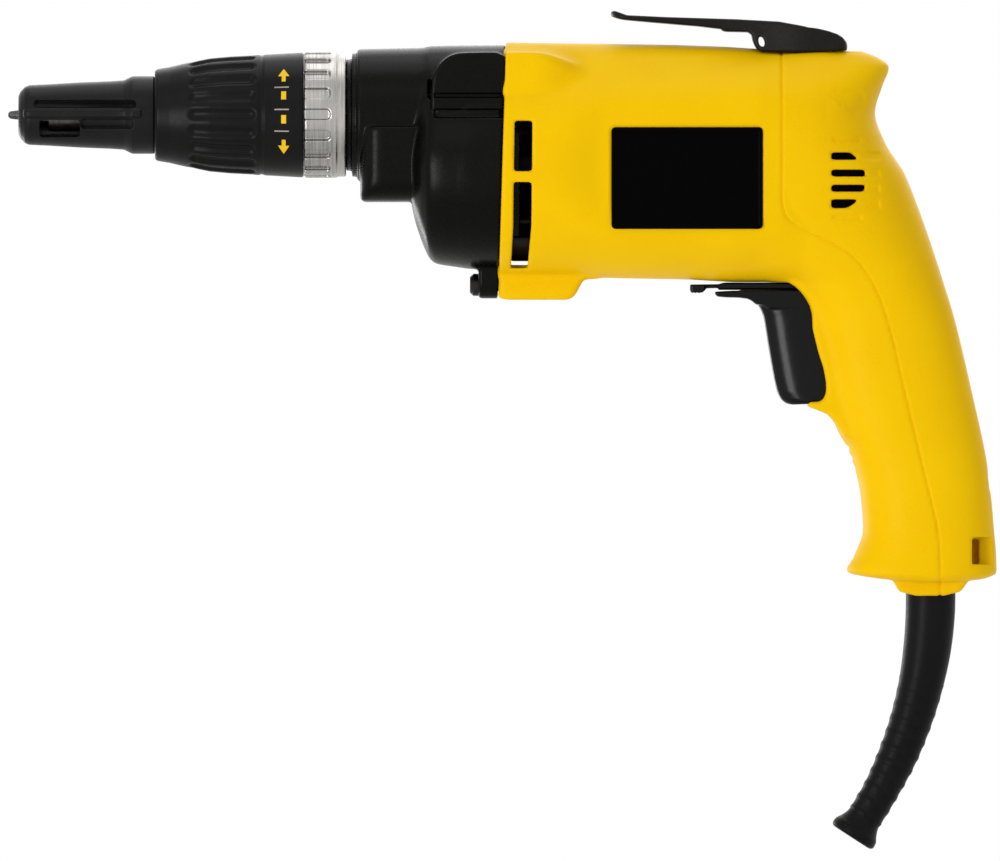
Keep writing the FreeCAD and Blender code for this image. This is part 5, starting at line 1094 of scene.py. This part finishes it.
    def rear_half(self) -> bpy.types.Object:
        """Build the rear handle cover with its vents, screw sinks and lanyard pockets.

        Returns:
            The rear handle cover.
        """
        space = Space((228.0, -30.2, -146.7), (299.0, 30.2, 20.5), 0.8)
        x, y, z = space.lines()
        form = self.outside(x, y, z, space.step)
        side = np.abs(y)
        solid = np.maximum(form, -(form + self.wall))
        heel = brick(x, y, z, *self.heel_block, 0.5)
        solid = np.minimum(solid, np.maximum(form, heel))
        for seat, across, rise in self.cover_screws:
            post = np.hypot(y - across, z - rise) - self.screw_post
            solid = np.minimum(solid, common(form, post, seat - 3.0 - x))
        solid = round_common(solid, self.split_side(x, z, Half.REAR), 0.35)
        bow = np.hypot(x - 248.9, z + 19.9) - 9.2
        for rise, height in self.vent_rows:
            bar = brick(x, 0.0, z, (247.6, -1, rise - height), (262.6, 1, rise + height), 0.35)
            through, shallow = common(bar, bow, 9.0 - side), np.maximum(bar, -(form + 0.55))
            solid = round_cut(solid, np.minimum(through, shallow), 0.25)
        for rise in self.blind_rows:
            bar = brick(x, 0.0, z, (248.2, -1, rise - 0.7), (257.0, 1, rise + 0.7), 0.35)
            solid = round_cut(solid, np.maximum(bar, -(form + 0.5)), 0.25)
        for seat, across, rise in self.cover_screws:
            floor = seat - x if across == 0 else -(form + 0.35)
            sink = common(np.hypot(y - across, z - rise) - self.screw_sink, floor, seat - x)
            solid = round_cut(solid, sink, 0.3)
        pocket, slot = brick(x, side, z, *self.heel_pocket, 0.4), brick(x, side, z, *self.heel_slot, 0.4)
        solid = round_cut(solid, np.minimum(pocket, slot), 0.4)
        return space.skin("rear_cover_moulding", solid)


@dataclass
class SidePlates:
    """The two bare black plates set into the sides of the barrel."""

    start: float = 180.7
    end: float = 226.8
    bottom: float = -35.0
    top: float = -4.0
    back: float = 28.6
    face: float = 29.85
    rim: float = 1.1
    recess: float = 0.22

    def build(self) -> None:
        """Build and dress both plates as one piece."""
        space = Space((self.start, -29.9, self.bottom), (self.end, 29.9, self.top), 0.45)
        x, y, z = space.lines()
        side = np.abs(y)
        view = brick(x, 0.0, z, (self.start, -9, self.bottom), (self.end, 9, self.top), 1.3)
        plate = round_common(view, np.maximum(self.back - side, side - self.face), 0.3)
        low = (self.start + self.rim, -9, self.bottom + self.rim)
        high = (self.end - self.rim, 9, self.top - self.rim)
        step = np.maximum(brick(x, 0.0, z, low, high, 0.6), self.face - self.recess - side)
        plates = space.skin("bare_side_plates", round_cut(plate, step, 0.15))
        hand_over(plates, PLATE, Body.HOUSING, ["side_plates"])


@dataclass
class ShadeWebs:
    """Black webs inside the shell that close the view through the vents: painted shade, dark sheets put
    where the inside of the tool lies in shade.
    """

    rear: Box = ((243.2, -1.2, -35.8), (260.0, 1.2, -5.2))
    rib_levels: tuple[float, ...] = (-30.0, -20.0, -10.0)
    fan_radius: float = 27.4
    drop: float = 16.0

    def build(self) -> None:
        """Build and dress both webs."""
        # Painted shade: both webs are black sheets that stand for the shaded inside of the tool seen through
        # the vents.
        hand_over(self.rear_shade_web(), BLACK, Body.HOUSING)
        hand_over(self.fan_shade_web(), BLACK, Body.HOUSING)

    def rear_shade_web(self) -> bpy.types.Object:
        """Build the ribbed web between the two sets of rear vents, a black sheet that paints the shade seen
        through them.

        Returns:
            The web.
        """
        space = Space((243.2, -3.0, -35.8), (260.0, 3.0, -5.2), 0.6)
        x, y, z = space.lines()
        web = brick(x, y, z, *self.rear, 0.5)
        for level in self.rib_levels:
            rib = brick(x, y, z, (244.0, -3.0, level - 0.8), (259.4, 3.0, level + 0.8), 0.4)
            web = round_union(web, rib, 0.6)
        return space.skin("rear_vent_shade_web", web)

    def fan_shade_web(self) -> bpy.types.Object:
        """Build the curved web under the fan, a black sheet that paints the shade seen through the lower
        front vent.

        Returns:
            The web.
        """
        space = Space((150.2, -22.0, -44.8), (159.8, 22.0, -37.0), 0.5)
        x, y, z = space.lines()
        bent = np.abs(np.hypot(y, z + self.drop) - self.fan_radius) - 1.2
        web = round_common(bent, np.maximum(np.abs(x - 155.0) - 4.8, z + 37.4), 0.5)
        return space.skin("fan_shade_web", web)


# Controls, hook and cord guard


@dataclass
class Controls:
    """The trigger and the reversing lever above it."""

    trigger_half: float = 8.2
    lever_half: float = 3.5
    knob_half: float = 4.9
    knob_notches: tuple[float, ...] = (205.9, 207.0, 208.1)
    pivot: float = 244.9
    pivot_radius: float = 4.15
    notch_level: float = -54.6
    notch_radius: float = 0.45
    plunger_level: float = -72.0
    plunger_radius: float = 2.95
    ear_middle: float = 6.95
    ear_half: float = 1.25
    face_round: Corner = (12.0, 5.4)
    face_line: tuple[Corner, ...] = (
        (-88.5, 234.4), (-86.8, 232.3), (-84.4, 231.1), (-80.6, 230.2), (-71.7, 228.6), (-61.9, 227.1),
        (-57.0, 225.2),
    )
    trigger_view: tuple[Corner, ...] = (
        (212.4, -53.6), (212.4, -54.8), (213.4, -55.6), (221.8, -55.8), (224.2, -57.0), (226.2, -59.5),
        (227.1, -61.9), (228.6, -71.7), (230.2, -80.6), (231.1, -84.4), (232.3, -86.8), (234.4, -88.45),
        (240.5, -88.2), (246.0, -88.0), (249.5, -87.4), (249.5, -58.2), (235.9, -58.2), (233.4, -53.6),
    )
    ear_view: tuple[Corner, ...] = (
        (219.8, -53.4), (243.4, -53.4), (246.0, -59.0), (228.5, -59.0), (225.5, -57.0), (222.0, -55.4),
        (219.8, -55.0),
    )
    lever_view: tuple[Corner, ...] = (
        (204.6, -51.7), (204.6, -53.6), (205.4, -54.35), (208.4, -54.35), (209.4, -53.5), (209.8, -52.9),
        (213.2, -52.8), (213.6, -53.36), (249.0, -53.36), (249.0, -51.1), (215.2, -51.1), (213.4, -51.6),
    )

    def build(self) -> None:
        """Build and dress the trigger and the lever."""
        hand_over(self.trigger(), GLOSS_BLACK, Body.TRIGGER, ["trigger"])
        hand_over(self.lever(), GLOSS_BLACK, Body.LEVER, ["reversing_lever"])

    def trigger(self) -> bpy.types.Object:
        """Build the trigger with its rounded finger face and plunger.

        Returns:
            The trigger.
        """
        space = Space((212.3, -8.2, -88.5), (261.5, 8.2, -53.4), 0.45)
        x, y, z = space.lines()
        view = outline(x, z, softened(self.trigger_view, 1))
        solid = round_common(view, np.abs(y) - self.trigger_half, 0.9)
        front = np.interp(z, *zip(*self.face_line))
        deep, wide = self.face_round
        ahead = np.maximum(front + deep - x, 0) / deep
        aside = np.maximum(np.abs(y) - self.trigger_half + wide, 0) / wide
        bow = (np.hypot(ahead, aside) - 1.0) * wide
        solid = np.where(z < -58.0, round_common(solid, bow, 0.5), solid)
        across = np.abs(np.abs(y) - self.ear_middle) - self.ear_half
        ears = round_common(outline(x, z, self.ear_view), across, 0.4)
        solid = np.minimum(solid, ears)
        plunger = np.hypot(y, z - self.plunger_level) - self.plunger_radius
        plunger = np.maximum(plunger, np.abs(x - 254.0) - 7.4)
        return space.skin("trigger_moulding", np.minimum(solid, plunger))

    def lever(self) -> bpy.types.Object:
        """Build the lever with its knob and pivot eye.

        Returns:
            The lever.
        """
        space = Space((203.9, -5.0, -54.4), (249.1, 5.0, -51.1), 0.3)
        x, y, z = space.lines()
        knob, arm = self.knob_half, self.lever_half
        half = glide((203.9, 208.6, 210.6, 250.0), (knob, knob, arm, arm), x)
        eye = np.hypot(x - self.pivot, y) - self.pivot_radius
        plan = round_union(np.maximum(np.abs(y) - half, x - self.pivot), eye, 1.0)
        plan = round_common(plan, 204.6 - x, 1.2)
        solid = round_common(outline(x, z, self.lever_view), plan, 0.5)
        for notch in self.knob_notches:
            solid = round_cut(solid, np.hypot(x - notch, z - self.notch_level) - self.notch_radius, 0.1)
        return space.skin("reversing_lever_moulding", solid)


@dataclass
class BeltHook:
    """The sheet-metal belt hook on top of the head."""

    widths: tuple[Corner, ...] = (
        (180.0, 5.6), (184.0, 6.6), (213.0, 7.2), (226.0, 8.4), (242.0, 10.7), (260.0, 10.7),
    )
    view: tuple[Corner, ...] = (
        (180.4, 30.2), (180.4, 31.3), (181.4, 31.95), (183.9, 31.0), (186.1, 30.2), (229.9, 28.8),
        (237.9, 27.3), (245.9, 25.9), (250.8, 24.2), (253.1, 21.5), (252.5, 19.05), (226.9, 19.05),
        (225.6, 19.4), (223.9, 22.2), (223.4, 25.2), (219.7, 25.3), (214.6, 25.4), (214.4, 26.4),
        (186.1, 28.8), (183.2, 29.2),
    )
    eye: Corner = (226.6, 22.3)
    eye_radius: float = 1.6
    screws: tuple[Corner, ...] = ((241.2, 6.0), (241.2, -6.0))
    screw_sink: float = 3.75

    def build(self) -> None:
        """Build and dress the hook."""
        space = Space((180.3, -10.8, 19.0), (253.2, 10.8, 32.0), 0.45)
        x, y, z = space.lines()
        view = outline(x, z, softened(self.view, 1))
        ends = np.maximum(180.4 - x, x - 253.1)
        plan = round_common(np.abs(y) - curve(self.widths, x), ends, 4.5)
        solid = round_common(view, plan, 0.8)
        place, level = self.eye
        eye = np.hypot((x - place + 0.15 * (z - level)) * 1.7, z - level) - self.eye_radius
        solid = round_cut(solid, eye, 0.3)
        for across, side in self.screws:
            sink = np.maximum(np.hypot(x - across, y - side) - self.screw_sink, 22.3 - z)
            solid = round_cut(solid, sink, 0.4)
        hook = space.skin("belt_hook_sheet", solid)
        hand_over(hook, SHEET_BLACK, Body.HOUSING, ["belt_hook"])


@dataclass
class CordGuard:
    """The bent rubber guard at the foot of the grip."""

    start: Corner = (278.2, -146.7)
    bend: float = 123.0
    turn: float = 33.0
    mouth: float = 8.0
    bore: float = 4.0
    ring_ends: Corner = (26.0, 71.0)
    ring_pitch: float = 4.5
    flange_radius: float = 9.9
    girth: tuple[Corner, ...] = (
        (-12.0, 7.6), (0.0, 7.6), (15.0, 7.35), (28.0, 6.8), (40.0, 6.35), (50.0, 6.0), (64.0, 5.4),
        (71.5, 5.35), (74.4, 6.3), (76.4, 7.35), (78.0, 7.45), (78.8, 7.2),
    )

    def build(self) -> None:
        """Build and dress the guard."""
        space = Space((247.9, -10.2, -224.4), (292.7, 10.2, -136.6), 0.5)
        x, y, z = space.lines()
        swing = math.radians(self.turn)
        hub, level = self.start[0] - self.bend, self.start[1]
        angle = np.clip(np.arctan2(level - z, x - hub), 0.0, swing)
        axis_x, axis_z = hub + self.bend * np.cos(angle), level - self.bend * np.sin(angle)
        head_x, head_z = -np.sin(angle), -np.cos(angle)
        ahead = (x - axis_x) * head_x + (z - axis_z) * head_z
        along = self.bend * angle + ahead
        aside = np.sqrt(np.maximum((x - axis_x) ** 2 + (z - axis_z) ** 2 - ahead**2, 0))
        around = np.hypot(aside, y)
        first, last = self.ring_ends
        rings = np.cos((along - first) * 2 * math.pi / self.ring_pitch)
        rings = np.where((along > first) & (along < last), rings, -1.0)
        swell = np.interp(along, (first, 50.0), (0.08, 0.22))
        radius = curve(self.girth, along) + swell * np.maximum(rings, -0.2)
        end = self.bend * swing + self.mouth
        solid = round_common(around - radius, np.maximum(along - end + 0.1, -10.0 - along), 1.1)
        flange = np.maximum(np.hypot(x - self.start[0], y) - self.flange_radius, np.abs(z + 138.2) - 1.5)
        solid = np.minimum(solid, flange)
        solid = round_cut(solid, np.maximum(around - self.bore, end - 30.0 - along), 0.5)
        guard = space.skin("cord_guard_rubber", evened(solid, space.step))
        hand_over(guard, RUBBER, Body.HOUSING, ["cord_guard"])


# Springs


@dataclass
class Springs:
    """The coil springs behind the clutch and the trigger, which shorten as these are pressed."""

    turns: int = 4
    points_per_turn: int = 24
    clutch_wire: float = 0.55
    clutch_stroke: float = 3.0
    trigger_wire: float = 0.5
    trigger_stroke: float = 6.0

    def build(self) -> None:
        """Build both springs, dress them and set each on its body."""
        self.tie("clutch_spring", Body.DRIVE, self.clutch_wire)
        self.tie("trigger_spring", Body.HOUSING, self.trigger_wire)

    def tie(self, node: str, body: Body, wire: float) -> None:
        """Put a coil in its node's place, on the body that it sits on.

        Args:
            node: The spring's CAD node.
            body: The body that it sits on.
            wire: Radius of its wire in millimetres.
        """
        low, high = (np.array(corner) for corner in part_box(node))
        coil = self.coil(node + "_coil", low, high, wire * MM)
        hand_over(coil, SPRING, body, [node])
        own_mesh(coil)

    def coil(self, name: str, low: Field, high: Field, wire: float) -> bpy.types.Object:
        """Wind a coil along X that fills a box.

        Args:
            name: Name of the coil.
            low: Lowest corner of the box.
            high: Highest corner of the box.
            wire: Radius of the wire.

        Returns:
            The coil.
        """
        count = self.turns * self.points_per_turn + 1
        turn = np.linspace(0, 2 * math.pi * self.turns, count)
        middle, reach = (low + high) / 2, (high[1] - low[1]) / 2 - wire
        points = np.ones((count, 4))
        points[:, 0] = np.linspace(low[0] + wire, high[0] - wire, count)
        points[:, 1] = middle[1] + reach * np.cos(turn)
        points[:, 2] = middle[2] + reach * np.sin(turn)
        path = bpy.data.curves.new(name, "CURVE")
        path.dimensions = "3D"
        path.bevel_depth = wire
        path.use_fill_caps = True
        spline = path.splines.new("POLY")
        spline.points.add(count - 1)
        spline.points.foreach_set("co", points.ravel())
        wound = bpy.data.objects.new(name, path)
        mesh = bpy.data.meshes.new_from_object(wound)
        bpy.data.objects.remove(wound)
        bpy.data.curves.remove(path)
        mesh.polygons.foreach_set("use_smooth", [True] * len(mesh.polygons))
        return stand(name, mesh)


# Pieces that keep their CAD shape


@dataclass
class InnerWorks:
    """The pieces whose CAD shape is right, which only get a finish."""

    finishes: tuple[tuple[Finish, tuple[str, ...]], ...] = (
        (SCREW, ("belt_hook_screws", "cord_clamp_screws", "cover_screws", "gear_case_screws")),
        (BIT_STEEL, ("bit_holder", "bit_magnet")),
        (STEEL, ("armature_shaft", "drive_gear", "spindle", "thrust_washer", "threaded_sleeve")),
        (STEEL, ("armature_front_bearing", "armature_rear_bearing", "spindle_tail_bearing")),
        (SPRING, ("brush_springs", "collar_click_spring", "nosepiece_snap_ring")),
        (BRONZE, ("spindle_front_bush",)),
        (BRASS, ("brush_holders",)),
        (COPPER, ("armature_windings", "commutator", "field_windings")),
        (SHEETS, ("armature_core", "field_core")),
        (CARBON, ("carbon_brushes",)),
        (ALLOY, ("bearing_plate", "rear_bearing_bracket")),
        (FELT, ("felt_seal",)),
        (BLACK, ("cooling_fan", "cord_clamp", "fan_baffle", "switch_body")),
    )

    def dress(self) -> None:
        """Give each carried-over node its finish."""
        for finish, names in self.finishes:
            for name in names:
                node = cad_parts[name]
                node.data.materials.clear()
                node.data.materials.append(finish.material())
                log.info("%s keeps its CAD shape, %s", name, finish.name)


# Studio


@dataclass
class Studio:
    """A pale floor, soft light and the camera at the photograph's angle."""

    middle: Corner = (0.14686, -0.09623)
    frame_width: float = 0.305
    distance: float = 9.0
    floor_level: float = -0.272
    floor_reach: Corner = (0.26, 0.58)
    world_light: float = 0.61
    lamp_target: Spot = (0.15, 0.0, -0.06)

    def build(self) -> None:
        """Set up the view, the light and the floor."""
        bpy.context.scene.view_settings.view_transform = "Standard"
        self.camera()
        self.sky()
        self.floor()
        self.lamp("key_light", (-0.30, -1.15, 1.0), (0.7, 0.7), 1.3)
        self.lamp("strip_light", (-0.62, -1.12, -0.16), (0.36, 0.7), 8.0)
        self.lamp("fill_light", (0.95, -1.25, 0.25), (1.2, 1.2), 1.3)
        self.lamp("top_light", (0.2, 0.15, 1.25), (0.9, 0.9), 4.0)
        self.lamp("back_light", (0.3, 1.2, 0.6), (1.3, 1.3), 7.0)
        self.lamp("rim_light", (-0.62, 1.12, -0.16), (0.36, 0.7), 4.0)

    def camera(self) -> None:
        """Place a long-lens camera square to the tool's side."""
        data = bpy.data.cameras.new("photo_camera")
        data.sensor_width = 36.0
        data.lens = data.sensor_width * self.distance / self.frame_width
        data.clip_end = 20.0
        camera = stand("photo_camera", data)
        camera.location = (self.middle[0], -self.distance, self.middle[1])
        camera.rotation_euler = (math.radians(90), 0, 0)
        bpy.context.scene.camera = camera

    def sky(self) -> None:
        """Make a plain world that the camera and reflections see as white."""
        world = bpy.data.worlds.new("studio_white")
        world.use_nodes = True
        bpy.context.scene.world = world
        tree = world.node_tree
        rays = add_node(tree, "LightPath", {}).outputs
        seen = rays["Is Camera Ray"]
        for kind in ("Is Glossy Ray", "Is Transmission Ray"):
            seen = add_node(tree, "Math", {0: seen, 1: rays[kind]}, operation="MAXIMUM").outputs["Value"]
        strength = add_node(tree, "MapRange", {"Value": seen, "To Min": self.world_light, "To Max": 1.0})
        white = (1.0, 1.0, 1.0, 1.0)
        feed(tree, tree.nodes["Background"], {"Color": white, "Strength": strength.outputs["Result"]})

    def floor(self) -> None:
        """Lay a pale floor whose edge fades into the white round it."""
        inner, outer = self.floor_reach
        mesh = bmesh.new()
        bmesh.ops.create_grid(mesh, x_segments=8, y_segments=8, size=outer)
        data = bpy.data.meshes.new("studio_floor")
        mesh.to_mesh(data)
        mesh.free()
        floor = stand("studio_floor", data)
        floor.location = (self.middle[0], 0.0, self.floor_level)
        paper = PAPER.material()
        tree = paper.node_tree
        face = next(node for node in tree.nodes if node.type == "OUTPUT_MATERIAL")
        place = add_node(tree, "TexCoord", {}).outputs["Object"]
        away = add_node(tree, "VectorMath", {0: place}, operation="LENGTH").outputs["Value"]
        reach = {"Value": away, "From Min": inner, "From Max": outer}
        fade = add_node(tree, "MapRange", reach, interpolation_type="SMOOTHSTEP").outputs["Result"]
        clear = add_node(tree, "BsdfTransparent", {}).outputs["BSDF"]
        shown = face.inputs["Surface"].links[0].from_socket
        mix = add_node(tree, "MixShader", {0: fade, 1: shown, 2: clear}).outputs["Shader"]
        feed(tree, face, {"Surface": mix})
        floor.data.materials.append(paper)

    def lamp(self, name: str, place: Spot, size: Corner, power: float) -> None:
        """Hang a soft lamp that faces the tool.

        Args:
            name: Name of the lamp.
            place: Where it hangs, in metres.
            size: Width and height of its face, in metres.
            power: Power in watts.
        """
        data = bpy.data.lights.new(name, "AREA")
        data.shape = "RECTANGLE"
        data.size, data.size_y = size
        data.energy = power
        lamp = stand(name, data)
        lamp.location = place
        aim = np.array(self.lamp_target) - np.array(place)
        lamp.rotation_euler = (
            math.atan2(math.hypot(aim[0], aim[1]), -aim[2]), 0.0, math.atan2(aim[1], aim[0]) - math.pi / 2,
        )


def main() -> None:
    """Build the studio and every sub-assembly."""
    logging.basicConfig(level=logging.INFO, format="%(name)s: %(message)s")
    Studio().build()
    InnerWorks().dress()
    Nose().build()
    Collar().build()
    DetentRing().build()
    GearCase().build()
    Shell().build()
    SidePlates().build()
    ShadeWebs().build()
    Controls().build()
    BeltHook().build()
    CordGuard().build()
    Springs().build()


if __name__ == "__main__":
    main()
